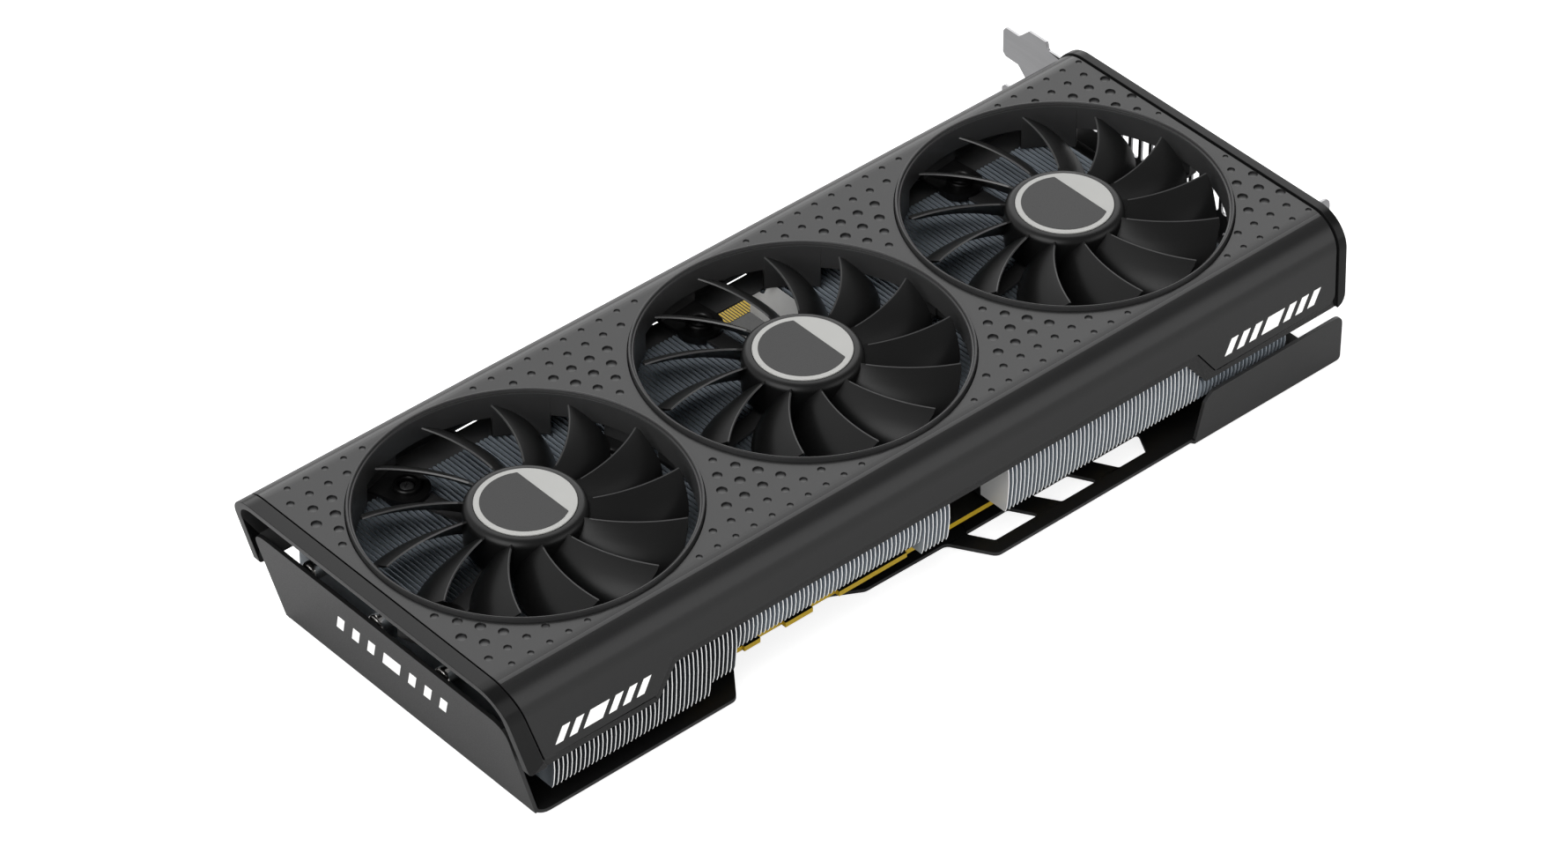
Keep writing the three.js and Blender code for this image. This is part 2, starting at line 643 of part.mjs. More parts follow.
// Head below, shank above.
function retentionScrew(x, y) {
  return cylinder([1.7, 4.7], 3.2, 16, x, y).add(cylinder([4.5, 10.6], 1.6, 12, x, y));
}

// ---------------------------------------------------------------- fan blades
const BLADES = 13; // blades on each rotor
const BLADE_PHASE = 301.3; // angle of the first blade's leading root, degrees
const BLADE_ROOT_R = 17.4; // sweep and twist start here
const BLADE_TIP_R = 43.2;
const BLADE_TOP = 48.15; // leading edges
const BLADE_DROP = 10.1; // height of a blade
const BLADE_RADII = [15.9, 29.5, BLADE_TIP_R];
const BLADE_CHORD = [0, 0.5, 1]; // stations from the leading to the trailing edge

// A point on a blade's upper (side 1) or lower (side -1) surface.
function bladePoint(side, radius, chord, phase) {
  const outward = Math.max(0, (radius - BLADE_ROOT_R) / (BLADE_TIP_R - BLADE_ROOT_R));
  const lead = 11 * Math.pow(outward, 1.25);
  const span = 26 - 9.8 * outward; // degrees covered by the blade at this radius
  const angle = (phase + lead - span * (1.45 * chord - 0.45 * chord * chord)) * RAD;
  const run = -span * (1.45 - 0.9 * chord) * RAD * radius;
  const slopeLength = Math.hypot(run, BLADE_DROP);
  const halfThickness = ((chord === 0.5 ? 1.1 : 0.5) * (1 - 0.25 * outward)) / 2;
  // half the thickness is laid off square to the slope
  const shifted = angle - (side * (BLADE_DROP / slopeLength) * halfThickness) / radius;
  return [
    radius * Math.cos(shifted),
    radius * Math.sin(shifted),
    BLADE_TOP - BLADE_DROP * chord - side * (run / slopeLength) * halfThickness,
  ];
}

// One blade as a closed lofted sheet: leading edge on top, falling away clockwise from above.
function blade(phase) {
  const vertices = [1, -1].flatMap((side) =>
    BLADE_RADII.flatMap((radius) =>
      BLADE_CHORD.flatMap((chord) => bladePoint(side, radius, chord, phase)),
    ),
  );
  // vertex number: sheet 0 is the upper, 1 the lower
  const id = (sheet, i, j) => (sheet * BLADE_RADII.length + i) * BLADE_CHORD.length + j;
  const triangles = [];
  // corners are given clockwise as seen from outside
  const quad = (a, b, c, d) => triangles.push(a, c, b, a, d, c);
  const tip = BLADE_RADII.length - 1;
  const tail = BLADE_CHORD.length - 1;
  for (let i = 0; i < tip; i++)
    for (let j = 0; j < tail; j++) {
      quad(id(0, i, j), id(0, i + 1, j), id(0, i + 1, j + 1), id(0, i, j + 1));
      quad(id(1, i, j), id(1, i, j + 1), id(1, i + 1, j + 1), id(1, i + 1, j));
    }
  for (let i = 0; i < tip; i++) {
    quad(id(0, i, 0), id(1, i, 0), id(1, i + 1, 0), id(0, i + 1, 0));
    quad(id(0, i, tail), id(0, i + 1, tail), id(1, i + 1, tail), id(1, i, tail));
  }
  for (let j = 0; j < tail; j++) {
    quad(id(0, 0, j), id(0, 0, j + 1), id(1, 0, j + 1), id(1, 0, j));
    quad(id(0, tip, j), id(1, tip, j), id(1, tip, j + 1), id(0, tip, j + 1));
  }
  return solidFromTriangles(vertices, triangles);
}

// ---------------------------------------------------------------- fans
const HUB_R = 16.75;
const HUB_TOP = 49.2;
const HUB_BOTTOM = 37.0;
const BADGE_R = 13.9;
const SHAFT_R = 1.5;
const BEARING_R = SHAFT_R + 0.06; // bore, with running clearance
const STATOR_POLES = 6;
const BASE_BOTTOM = 34.8;
const STRUT_Z = [BASE_BOTTOM, 35.8];

// radius, z
const HUB_PROFILE = [
  [0, 45.2], [2.6, 45.2], [2.6, 47.5], [15.3, 47.5], [15.3, HUB_BOTTOM],
  [HUB_R, HUB_BOTTOM], [HUB_R, 47.0], [16.1, 48.5], [14.6, HUB_TOP], [0, HUB_TOP],
];
// one pole of the stator: radius, degrees from the pole's middle
const POLE_OUTLINE = [
  [5.2, -17], [10.2, -7.5], [12.1, -22], [12.3, 0], [12.1, 22], [10.2, 7.5], [5.2, 17],
];

// Hollow hub with a socket for the shaft, and the blades.
function fanRotor() {
  const profile = HUB_PROFILE.map(([radius, z]) => new THREE.Vector2(radius, z));
  let body = solid(new THREE.LatheGeometry(profile, 20).rotateX(Math.PI / 2)).subtract(
    cylinder([44, 46.9], 1.65, 10),
  );
  for (let k = 0; k < BLADES; k++) body = body.add(blade(BLADE_PHASE + (k * 360) / BLADES));
  return body;
}

function motorStator() {
  const outline = [];
  for (let k = 0; k < STATOR_POLES; k++)
    for (const [radius, angle] of POLE_OUTLINE)
      outline.push(polar(radius, (k * 360) / STATOR_POLES + angle));
  return prismZ(outline, [38.6, 45.2]).subtract(cylinder([30, 50], 4.2, 12));
}

// Disc with a bearing holder in the middle and struts out to the screws.
function fanBase(firstAngle) {
  let base = cylinder([BASE_BOTTOM, 36.3], 15.5, 20).add(tube([36.0, 44.6], 3.9, 2.95, 12));
  for (let k = 0; k < STRUT_COUNT; k++) {
    const strut = box([12, SCREW_CIRCLE_R], [-2.8, 2.8], STRUT_Z)
      .add(cylinder(STRUT_Z, 4.6, 8, SCREW_CIRCLE_R))
      .rotate([0, 0, firstAngle + (360 / STRUT_COUNT) * k]);
    base = base.add(strut);
  }
  return base;
}

function addFans() {
  const rotor = fanRotor();
  const badge = cylinder([HUB_TOP + 0.02, HUB_TOP + 0.45], BADGE_R, 32);
  FAN_X.forEach((x, i) => {
    const fan = new THREE.Group();
    fan.position.set(x, 0, 0);
    card.add(fan);
    const add = (name, body, finish) => addPart(`${name}_${i + 1}`, body, finish, fan);
    add("fan_rotor", rotor, FINISH.rotor);
    add("hub_badge", badge, FINISH.badge);
    add("rotor_yoke", tube([37.3, 47.3], 15.0, 14.3, 20), FINISH.yoke);
    add("rotor_magnet", tube([37.8, 46.5], 14.0, 12.7, 20), FINISH.magnet);
    add("fan_shaft", cylinder([36.8, 46.7], SHAFT_R, 24), FINISH.shaft);
    add("sleeve_bearing", tube([36.7, 44.3], 2.7, BEARING_R, 24), FINISH.bearing);
    add("motor_stator", motorStator(), FINISH.stator);
    add("fan_base", fanBase(STRUT_START[i]), FINISH.fanBase);
  });
}

// ---------------------------------------------------------------- assembly
addPart("shroud_frame", shroudFrame(), FINISH.shroudFrame);
addPart("shroud_cover", shroudCover(), FINISH.shroudCover);
addPart("backplate", backplate(), FINISH.backplate);
addPart("pcb", circuitBoard(), FINISH.board);
addContacts();
addPart("io_bracket", ioBracket(), FINISH.ioBracket);
for (const [name, y0, y1, top] of SOCKETS) addPart(name, videoSocket(y0, y1, top), FINISH.socket);
addPart("fin_stack_left", leftFinStack(), FINISH.fins);
addPart("fin_stack_right", rightFinStack(), FINISH.fins);
PIPE_Y.forEach((pipeY, i) => addPart(`heat_pipe_${i + 1}`, heatPipe(pipeY), FINISH.heatPipe));
addPart("cold_plate", coldPlate(), FINISH.coldPlate);
addPart("front_plate", frontPlate(), FINISH.frontPlate);
addPart("gpu_package", gpuPackage(), FINISH.gpuPackage);
addPart("gpu_die", gpuDie(), FINISH.gpuDie);
MEMORY_CENTRES.forEach(([x, y], i) =>
  addPart(`memory_chip_${i + 1}`, memoryChip(x, y), FINISH.memoryChip),
);
CHOKE_Y.forEach((y, i) => addPart(`choke_${i + 1}`, choke(y), FINISH.choke));
addPart("power_connector", powerConnector(), FINISH.powerConnector);
addPart("retention_bracket", springBracket(), FINISH.springBracket);
MOUNT_POINTS.forEach(([x, y], i) =>
  addPart(`retention_screw_${i + 1}`, retentionScrew(x, y), FINISH.screw),
);
addFans();

export default card;
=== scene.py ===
"""A graphics card with three fans, lying flat with the fans facing up.

The fans stand in a row along x. The slot bracket closes the +x end and a leaning cap the
-x end. The edge contacts point to +y, "far"; the camera stands towards -x and -y, "near".
Shapes are built in millimetres, and piece() brings them to metres.
"""
import math
import bpy
import bmesh
from mathutils import Matrix, Vector

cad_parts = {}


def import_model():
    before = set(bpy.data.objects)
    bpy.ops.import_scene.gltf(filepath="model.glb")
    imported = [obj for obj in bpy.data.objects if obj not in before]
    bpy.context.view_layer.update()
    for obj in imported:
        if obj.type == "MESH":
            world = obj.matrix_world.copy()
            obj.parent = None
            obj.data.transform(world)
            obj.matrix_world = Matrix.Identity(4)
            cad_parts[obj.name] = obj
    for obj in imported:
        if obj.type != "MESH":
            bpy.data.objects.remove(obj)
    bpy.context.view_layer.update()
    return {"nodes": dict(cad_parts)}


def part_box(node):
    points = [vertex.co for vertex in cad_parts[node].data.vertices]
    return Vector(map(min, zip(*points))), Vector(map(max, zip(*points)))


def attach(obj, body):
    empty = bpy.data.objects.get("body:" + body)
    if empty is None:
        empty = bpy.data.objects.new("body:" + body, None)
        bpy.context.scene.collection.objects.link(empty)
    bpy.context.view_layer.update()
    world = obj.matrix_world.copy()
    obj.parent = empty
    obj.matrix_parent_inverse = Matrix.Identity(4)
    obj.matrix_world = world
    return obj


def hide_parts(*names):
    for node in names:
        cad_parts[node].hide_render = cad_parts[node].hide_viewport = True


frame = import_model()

RAD = math.pi / 180
scene = bpy.context.scene


# ------------------------------------------------------------------ shared sizes (millimetres)
def fan_centre(number):
    """x of a fan's axis, to the nearest half millimetre"""
    low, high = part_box(f"fan_rotor_{number}")
    return round((low.x + high.x) * 500 / 0.5) * 0.5


FAN_X = {number: fan_centre(number) for number in (1, 2, 3)}
TOP = round(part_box("shroud_cover")[1].z * 1000, 2)        # top of the cover
RING_TOP = round(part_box("shroud_frame")[1].z * 1000, 2)   # top of the rings around the fans
WALL_TOP_Y, WALL_LOW_Y, EDGE_R = 56.6, 57.5, 10.0         # shroud walls and their rounded edge
COVER_T = 1.3
DUCT_R, DUCT_OUT, DUCT_LOW = 45.5, 47.05, 41.5            # ring around each fan
STRUT_ANGLE = {1: 106.0, 2: 95.5, 3: 95.5}                # first of four struts on each fan, degrees
STRUT_R = 38.4                                            # fan axis to the screw of a strut
GPU_X = 52.0
MOUNT_Z = 8.76                                            # foot of the video and power sockets
CAP_X, CAP_SLOPE = -138.5, 0.271                          # end cap: x of its foot, lean per height
CAP_PLACE = Matrix.Translation((CAP_X, 0, 0)) @ Matrix.Rotation(-math.atan(CAP_SLOPE), 4, "Y")


def strut_angles(fan):
    return [STRUT_ANGLE[fan] + 90 * k for k in range(4)]


# ------------------------------------------------------------------ mesh helpers
def mesh(verts, faces):
    shape = bpy.data.meshes.new("shape")
    shape.from_pydata([tuple(v) for v in verts], [], [list(f) for f in faces])
    build = bmesh.new()
    build.from_mesh(shape)
    bmesh.ops.remove_doubles(build, verts=build.verts, dist=1e-5)
    bmesh.ops.recalc_face_normals(build, faces=build.faces)
    build.to_mesh(shape)
    build.free()
    return shape


# where an outline point and its height go when a prism is pushed along each axis
PUSH = {
    "x": lambda across, up, along: (along, across, up),
    "y": lambda across, up, along: (across, along, up),
    "z": lambda across, up, along: (across, up, along),
}


def prism(outline, axis, start, end):
    place, count = PUSH[axis], len(outline)
    verts = [place(*point, start) for point in outline] + [place(*point, end) for point in outline]
    faces = [list(range(count))[::-1], [count + i for i in range(count)]]
    faces += [[i, (i + 1) % count, count + (i + 1) % count, count + i] for i in range(count)]
    return mesh(verts, faces)


def box(x0, x1, y0, y1, z0, z1):
    return prism([(x0, y0), (x1, y0), (x1, y1), (x0, y1)], "z", z0, z1)


def cylinder(x, y, z0, z1, radius, segments=64):
    turns = [2 * math.pi * k / segments for k in range(segments)]
    outline = [(x + radius * math.cos(turn), y + radius * math.sin(turn)) for turn in turns]
    return prism(outline, "z", z0, z1)


def lathe(profile, x=0.0, y=0.0, segments=96):
    """closed (radius, z) outline turned about an upright axis"""
    count = len(profile)
    verts, faces = [], []
    for k in range(segments):
        turn = 2 * math.pi * k / segments
        verts += [(x + r * math.cos(turn), y + r * math.sin(turn), z) for r, z in profile]
    for k in range(segments):
        here, after = k * count, ((k + 1) % segments) * count
        for i in range(count):
            j = (i + 1) % count
            i_on_axis, j_on_axis = profile[i][0] < 1e-6, profile[j][0] < 1e-6
            if i_on_axis and j_on_axis:
                continue
            if i_on_axis:
                faces.append([here + i, after + j, here + j])
            elif j_on_axis:
                faces.append([here + i, after + i, here + j])
            else:
                faces.append([here + i, after + i, after + j, here + j])
    return mesh(verts, faces)


def join(shapes):
    build = bmesh.new()
    for shape in shapes:
        build.from_mesh(shape)
    joined = bpy.data.meshes.new("shape")
    build.to_mesh(joined)
    build.free()
    return joined


def moved(shape, matrix):
    copy = shape.copy()
    copy.transform(matrix)
    return copy


def turned(shape, degrees, x=0.0, y=0.0):
    """turned about the upright axis, then shifted"""
    shift = Matrix.Translation((x, y, 0))
    return moved(shape, shift @ Matrix.Rotation(degrees * RAD, 4, "Z"))


def with_modifiers(shape, add):
    """the shape after the modifiers that add() puts on it; add() may return tool objects"""
    work = bpy.data.objects.new("work", shape)
    scene.collection.objects.link(work)
    tools = add(work) or []
    graph = bpy.context.evaluated_depsgraph_get()
    result = bpy.data.meshes.new_from_object(
        work.evaluated_get(graph), preserve_all_data_layers=True, depsgraph=graph)
    for spent in [work, *tools]:
        bpy.data.objects.remove(spent)
    return result


BOOLEANS = {"-": "DIFFERENCE", "+": "UNION", "&": "INTERSECT"}


def combine(shape, *steps):
    """steps: ("-", mesh), ("+", mesh) or ("&", mesh)"""
    def add(work):
        tools = []
        for sign, other in steps:
            tool = bpy.data.objects.new("tool", other)
            scene.collection.objects.link(tool)
            tools.append(tool)
            modifier = work.modifiers.new("boolean", "BOOLEAN")
            modifier.operation = BOOLEANS[sign]
            modifier.object = tool
            modifier.solver = "MANIFOLD"
        return tools

    return with_modifiers(shape, add)


def tidy(shape):
    """clears the slivers that booleans leave, so that a bevel runs clean"""
    build = bmesh.new()
    build.from_mesh(shape)
    bmesh.ops.remove_doubles(build, verts=build.verts, dist=1e-4)
    bmesh.ops.dissolve_limit(build, angle_limit=0.6 * RAD, verts=build.verts, edges=build.edges)
    bmesh.ops.connect_verts_concave(build, faces=build.faces)
    build.to_mesh(shape)
    build.free()
    return shape


def bevelled(shape, width, angle=38):
    def add(work):
        modifier = work.modifiers.new("bevel", "BEVEL")
        modifier.width = width
        modifier.segments = 2
        modifier.limit_method = "ANGLE"
        modifier.angle_limit = angle * RAD
        modifier.use_clamp_overlap = False
        modifier.miter_outer = "MITER_ARC"

    return with_modifiers(shape, add)


def rounded(points, radii, steps=6):
    """outline with its corners eased; radii is one number or one for each point"""
    outline, count = [], len(points)
    for i in range(count):
        radius = radii[i] if isinstance(radii, list) else radii
        (last_x, last_y), (x, y), (next_x, next_y) = points[i - 1], points[i], points[(i + 1) % count]
        if not radius:
            outline.append((x, y))
            continue
        to_last = Vector((last_x - x, last_y - y)).normalized()
        to_next = Vector((next_x - x, next_y - y)).normalized()
        half = math.acos(max(-1, min(1, to_last.dot(to_next)))) / 2
        reach = radius / math.tan(half)
        for k in range(steps + 1):
            done = k / steps
            left = 1 - done
            outline.append(tuple(
                left * left * (corner + back * reach) + 2 * left * done * corner
                + done * done * (corner + ahead * reach)
                for corner, back, ahead in ((x, to_last.x, to_next.x), (y, to_last.y, to_next.y))))
    return outline


def round_rect(x0, x1, y0, y1, radius, steps):
    return rounded([(x0, y0), (x1, y0), (x1, y1), (x0, y1)], radius, steps)


# ------------------------------------------------------------------ shader helpers
def fill(tree, target, inputs):
    """links each input to a socket, or sets it to a value"""
    for key, value in inputs.items():
        if isinstance(value, bpy.types.NodeSocket):
            tree.links.new(value, target.inputs[key])
        else:
            target.inputs[key].default_value = value


def node(tree, kind, inputs, **settings):
    made = tree.nodes.new("ShaderNode" + kind)
    for key, value in settings.items():
        setattr(made, key, value)
    fill(tree, made, inputs)
    return made


def calc(tree, operation, *values):
    return node(tree, "Math", dict(enumerate(values)), operation=operation).outputs[0]


def remap(tree, value, start, end, low, high, curve="SMOOTHSTEP"):
    inputs = {"Value": value, "From Min": start, "From Max": end, "To Min": low, "To Max": high}
    return node(tree, "MapRange", inputs, interpolation_type=curve).outputs["Result"]


def color_ramp(tree, factor, low, high, start=0.0, end=1.0):
    ramp = node(tree, "ValToRGB", {"Fac": factor})
    for stop, position, color in zip(ramp.color_ramp.elements, (start, end), (low, high)):
        stop.position = position
        stop.color = (*color, 1)
    return ramp.outputs["Color"]


def mix_colors(tree, factor, first, second):
    return node(tree, "Mix", {0: factor, 6: first, 7: second}, data_type="RGBA").outputs[2]


def new_tree(name):
    """a new material, its node tree and its main shader"""
    made = bpy.data.materials.new(name)
    made.use_nodes = True
    return made, made.node_tree, made.node_tree.nodes["Principled BSDF"]


# ------------------------------------------------------------------ materials
LOOKS = {}
GRAIN_SCALE = 2600.0       # fine noise that drives roughness and bump
NOISE_LOW, NOISE_HIGH = 0.3, 0.7


def material(name, color, rough=0.4, metal=0.0, specular=0.5, tint_vary=0.06, rough_vary=0.06,
             patches=120.0, bump=0.04, stretch=None, glow=0.0):
    """patches is the noise scale of the tint; the _vary values are the spread to each side"""
    made, tree, shader = new_tree(name)
    source = node(tree, "TexCoord", {}).outputs["Object"]
    if stretch:
        source = node(tree, "Mapping", {"Vector": source, "Scale": stretch}).outputs["Vector"]
    tint = node(tree, "TexNoise", {"Vector": source, "Scale": patches, "Detail": 4}).outputs["Fac"]
    grain = node(tree, "TexNoise", {"Vector": source, "Scale": GRAIN_SCALE, "Detail": 3})
    grain = grain.outputs["Fac"]
    relief = node(tree, "Bump", {"Height": grain, "Strength": bump, "Distance": 0.0002})
    fill(tree, shader, {
        "Base Color": color_ramp(
            tree, tint, [c * (1 - tint_vary) for c in color], [c * (1 + tint_vary) for c in color],
            NOISE_LOW, NOISE_HIGH),
        "Roughness": remap(tree, grain, NOISE_LOW, NOISE_HIGH,
                           rough - rough_vary, rough + rough_vary, "LINEAR"),
        "Normal": relief.outputs["Normal"],
        "Metallic": metal,
        "Specular IOR Level": specular,
        "Coat Roughness": 0.12,
    })
    if glow:
        fill(tree, shader, {"Emission Color": (1, 1, 0.98, 1), "Emission Strength": glow})
    LOOKS[name] = made


def grey(value):
    return (value, value, value * 1.01)


# shroud, backplate and fans
material("cover_grey", grey(0.0135), rough=0.26, specular=0.47, tint_vary=0.03, rough_vary=0.008,
         bump=0.002)
material("screw_dim", grey(0.11), rough=0.42, metal=0.6, rough_vary=0.05, bump=0.01)
# painted shade: a dark copy of the socket steel for the tops and backs of the video sockets
material("socket_top_dark", grey(0.02), rough=0.5, specular=0.3, rough_vary=0.05, bump=0.02)
# painted shade: a darker copy of the bracket steel for its inner face
material("bracket_inner_steel", grey(0.06), rough=0.5, metal=0.6, specular=0.3, rough_vary=0.05,
         bump=0.02)
# painted light: the dimple floors are a lighter copy of the cover grey
material("pit_floor", grey(0.045), rough=0.3, tint_vary=0.03, rough_vary=0.008, bump=0.002)
material("frame_black", grey(0.007), rough=0.2, specular=0.22, rough_vary=0.03, bump=0.01)
material("border_grey", grey(0.0105), rough=0.28, specular=0.42, tint_vary=0.03, rough_vary=0.01,
         bump=0.003)
# painted light: the flange in the shroud's shade is painted lighter than the black frame plastic
material("flange_grey", grey(0.075), rough=0.5, tint_vary=0.08, rough_vary=0.05, bump=0.02)
material("ear_black", grey(0.006), rough=0.34, specular=0.4, tint_vary=0.08, rough_vary=0.04,
         bump=0.02)
# painted light: a lighter copy of the black frame plastic for the shaded duct walls and fan bases
material("duct_black", grey(0.032), rough=0.42, tint_vary=0.08, rough_vary=0.05)
material("blade_black", grey(0.0045), rough=0.34, specular=0.34, tint_vary=0.08, rough_vary=0.03,
         bump=0.01)
# painted highlight: a lighter grey strip along the top edges of the blades
material("blade_edge", grey(0.045), rough=0.32, specular=0.7, rough_vary=0.03, bump=0.01)
material("backplate_grey", grey(0.028), rough=0.38, specular=0.48, tint_vary=0.05,
         rough_vary=0.04, bump=0.03)
# painted shade: a darker copy of the backplate grey for its inner faces
material("backplate_inside", grey(0.008), rough=0.42, specular=0.3, rough_vary=0.04, bump=0.02)
material("badge_silver", (0.385, 0.385, 0.372), rough=0.42, metal=0.1, tint_vary=0.02,
         rough_vary=0.03, bump=0.01)
material("badge_inlay", grey(0.013), rough=0.3, specular=0.36, tint_vary=0.03, rough_vary=0.03,
         bump=0.02)
# fins
material("fin_aluminium", (0.44, 0.49, 0.54), metal=0.3, tint_vary=0.04, rough_vary=0.03,
         patches=90, bump=0.005)
# painted light: a lighter, faintly glowing aluminium for the open end face of the right fin stack
material("fin_end_face", (0.66, 0.66, 0.65), rough=0.36, metal=0.3, tint_vary=0.04,
         rough_vary=0.03, patches=90, bump=0.005, glow=0.06)
# painted shade: the fins' top edges are painted dark for the shadow lines between the fins
material("fin_top_edge", (0.030, 0.034, 0.040), rough=0.5, metal=0.2, tint_vary=0.05,
         rough_vary=0.03, patches=90, bump=0.005)
# painted highlight: the fins' near cut edges are near white and glow
material("fin_cut_edge", (0.86, 0.86, 0.86), rough=0.35, metal=0.1, specular=0.8, tint_vary=0.04,
         rough_vary=0.04, patches=90, bump=0.005, glow=0.34)
# metal parts, board and chips
material("pipe_nickel", (0.72, 0.70, 0.68), rough=0.18, metal=1.0, tint_vary=0.05,
         rough_vary=0.05, patches=200, bump=0.02)
material("bracket_steel", (0.48, 0.48, 0.49), rough=0.38, metal=1.0, patches=300,
         stretch=(1, 0.06, 1))
material("socket_steel", (0.56, 0.56, 0.57), rough=0.28, metal=1.0, tint_vary=0.05,
         rough_vary=0.05, patches=250, bump=0.02)
material("contact_gold", (0.44, 0.29, 0.006), metal=0.3, rough_vary=0.05, patches=500, bump=0.02)
material("copper_base", (0.72, 0.40, 0.26), rough=0.3, metal=1.0, tint_vary=0.08, patches=220,
         stretch=(1, 0.1, 1))
material("plate_black", grey(0.012), rough=0.5, specular=0.4, tint_vary=0.1)
material("package_green", (0.02, 0.07, 0.035), tint_vary=0.15, patches=900)
material("silicon_grey", (0.10, 0.11, 0.13), rough=0.08, metal=0.6, tint_vary=0.08,
         rough_vary=0.03, patches=500)
material("chip_resin", grey(0.014), rough=0.5, tint_vary=0.15, rough_vary=0.08, patches=900,
         bump=0.08)
material("ferrite_grey", (0.09, 0.09, 0.095), rough=0.65, tint_vary=0.2, rough_vary=0.08,
         patches=1500, bump=0.2)
material("connector_black", grey(0.008), rough=0.42, tint_vary=0.08, bump=0.05)
material("spring_steel", (0.50, 0.50, 0.51), rough=0.33, metal=1.0, patches=300,
         stretch=(0.3, 1, 1))
material("screw_black", (0.05, 0.05, 0.052), rough=0.35, metal=0.8, tint_vary=0.1, patches=800)
# motors
material("yoke_steel", (0.40, 0.40, 0.41), rough=0.36, metal=1.0, patches=400)
material("magnet_ferrite", (0.03, 0.03, 0.032), rough=0.7, tint_vary=0.2, rough_vary=0.08,
         patches=1500, bump=0.2)
material("shaft_steel", (0.62, 0.62, 0.63), rough=0.16, metal=1.0, tint_vary=0.04,
         rough_vary=0.04, patches=500)
material("bearing_bronze", (0.52, 0.34, 0.16), rough=0.42, metal=1.0, tint_vary=0.12,
         rough_vary=0.08, patches=1200)
material("winding_copper", (0.55, 0.22, 0.08), rough=0.38, metal=0.9, tint_vary=0.2,
         rough_vary=0.08, patches=1500, stretch=(1, 1, 6))
# white print, given a glow as painted light
material("mark_white_painted_glow", (0.86, 0.86, 0.85), rough=0.45, tint_vary=0.02, rough_vary=0.04,
         bump=0.02, glow=0.45)
material("board_mask", (0.012, 0.012, 0.010), tint_vary=0.2, patches=300)


def base_color(name):
    """a material's tree, its main shader and the socket that colours it"""
    tree = LOOKS[name].node_tree
    shader = tree.nodes["Principled BSDF"]
    return tree, shader, shader.inputs["Base Color"].links[0].from_socket


def color_board_edges():
    """black mask stays on the flat faces, the upright cut edges turn yellow-brown"""
    tree, shader, mask = base_color("board_mask")
    normal = node(tree, "NewGeometry", {}).outputs["True Normal"]
    upward = node(tree, "SeparateXYZ", {0: normal}).outputs["Z"]
    is_edge = calc(tree, "LESS_THAN", calc(tree, "ABSOLUTE", upward), 0.5)
    source = node(tree, "TexCoord", {}).outputs["Object"]
    noise = node(tree, "TexNoise", {"Vector": source, "Scale": 1800}).outputs["Fac"]
    laminate = color_ramp(tree, noise, low=(0.66, 0.43, 0.014), high=(0.86, 0.58, 0.024))
    fill(tree, shader, {"Base Color": mix_colors(tree, is_edge, mask, laminate)})


def shade_fins():
    """darkens the fins' faces where little light gets between them (positions in metres)"""
    tree, shader, color = base_color("fin_aluminium")
    position = node(tree, "NewGeometry", {}).outputs["Position"]
    place = node(tree, "SeparateXYZ", {0: position}).outputs
    x, y = place["X"], place["Y"]
    # along the near edge, strongest at the -x end
    near = remap(tree, y, start=-0.054, end=-0.047, low=1.0, high=0.0)
    end = remap(tree, x, start=-0.078, end=-0.060, low=0.78, high=0.0)
    # under the fans, on the near half
    inner = remap(tree, y, start=-0.050, end=-0.044, low=0.0, high=1.0)
    half = remap(tree, y, start=-0.020, end=0.014, low=0.48, high=0.0)
    side = remap(tree, x, start=-0.092, end=-0.062, low=1.0, high=0.5)
    under_fans = calc(tree, "MULTIPLY", calc(tree, "MULTIPLY", inner, half), side)
    shade = calc(tree, "ADD", calc(tree, "MULTIPLY", near, end), under_fans)
    kept = calc(tree, "SUBTRACT", 1.0, shade)
    shaded = node(tree, "VectorMath", {}, operation="SCALE")
    fill(tree, shaded, {0: color, "Scale": kept})
    fill(tree, shader, {"Base Color": shaded.outputs[0]})


color_board_edges()
shade_fins()


# ------------------------------------------------------------------ pieces
def piece(name, shape, materials, replaces=None, body="card", bevel=0.0, smooth=35, at_x=0,
          paint=None, weighted=True):
    """makes an object of a shape; paint(centre, normal) names the material of a face"""
    if bevel:
        shape = bevelled(tidy(shape), bevel)
    shape.materials.clear()
    for key in materials:
        shape.materials.append(LOOKS[key])
    for face in shape.polygons:
        key = paint(face.center, face.normal) if paint else materials[0]
        face.material_index = materials.index(key)
    shape.transform(Matrix.Scale(0.001, 4))
    for face in shape.polygons:
        face.use_smooth = True
    shape.set_sharp_from_angle(angle=smooth * RAD)
    shape.update()
    if weighted:
        def add(work):
            modifier = work.modifiers.new("normals", "WEIGHTED_NORMAL")
            modifier.keep_sharp = True
            modifier.weight = 100
        shape = with_modifiers(shape, add)
    shape.name = name
    made = bpy.data.objects.new(name, shape)
    scene.collection.objects.link(made)
    made.location = Vector((at_x, 0, 0)) * 0.001
    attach(made, body)
    if replaces:
        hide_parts(replaces)


# ------------------------------------------------------------------ shroud sections
ARC_STEPS = 14


def section(inset):
    """the shroud's (y, z) outline across the card, moved inwards by inset"""
    points = [(WALL_LOW_Y - inset, -6), (WALL_LOW_Y - inset, 16)]
    arc_y, arc_z = WALL_TOP_Y - EDGE_R, TOP - EDGE_R
    for i in range(ARC_STEPS + 1):
        turn = i / ARC_STEPS * 90 * RAD
        points.append((arc_y + (EDGE_R - inset) * math.cos(turn),
                       arc_z + (EDGE_R - inset) * math.sin(turn)))
    return points + [(-y, z) for y, z in reversed(points)]


def shell(outer_inset, inner_inset, x0, x1):
    return combine(prism(section(outer_inset), "x", x0, x1),
                   ("-", prism(section(inner_inset), "x", x0 - 1, x1 + 1)))


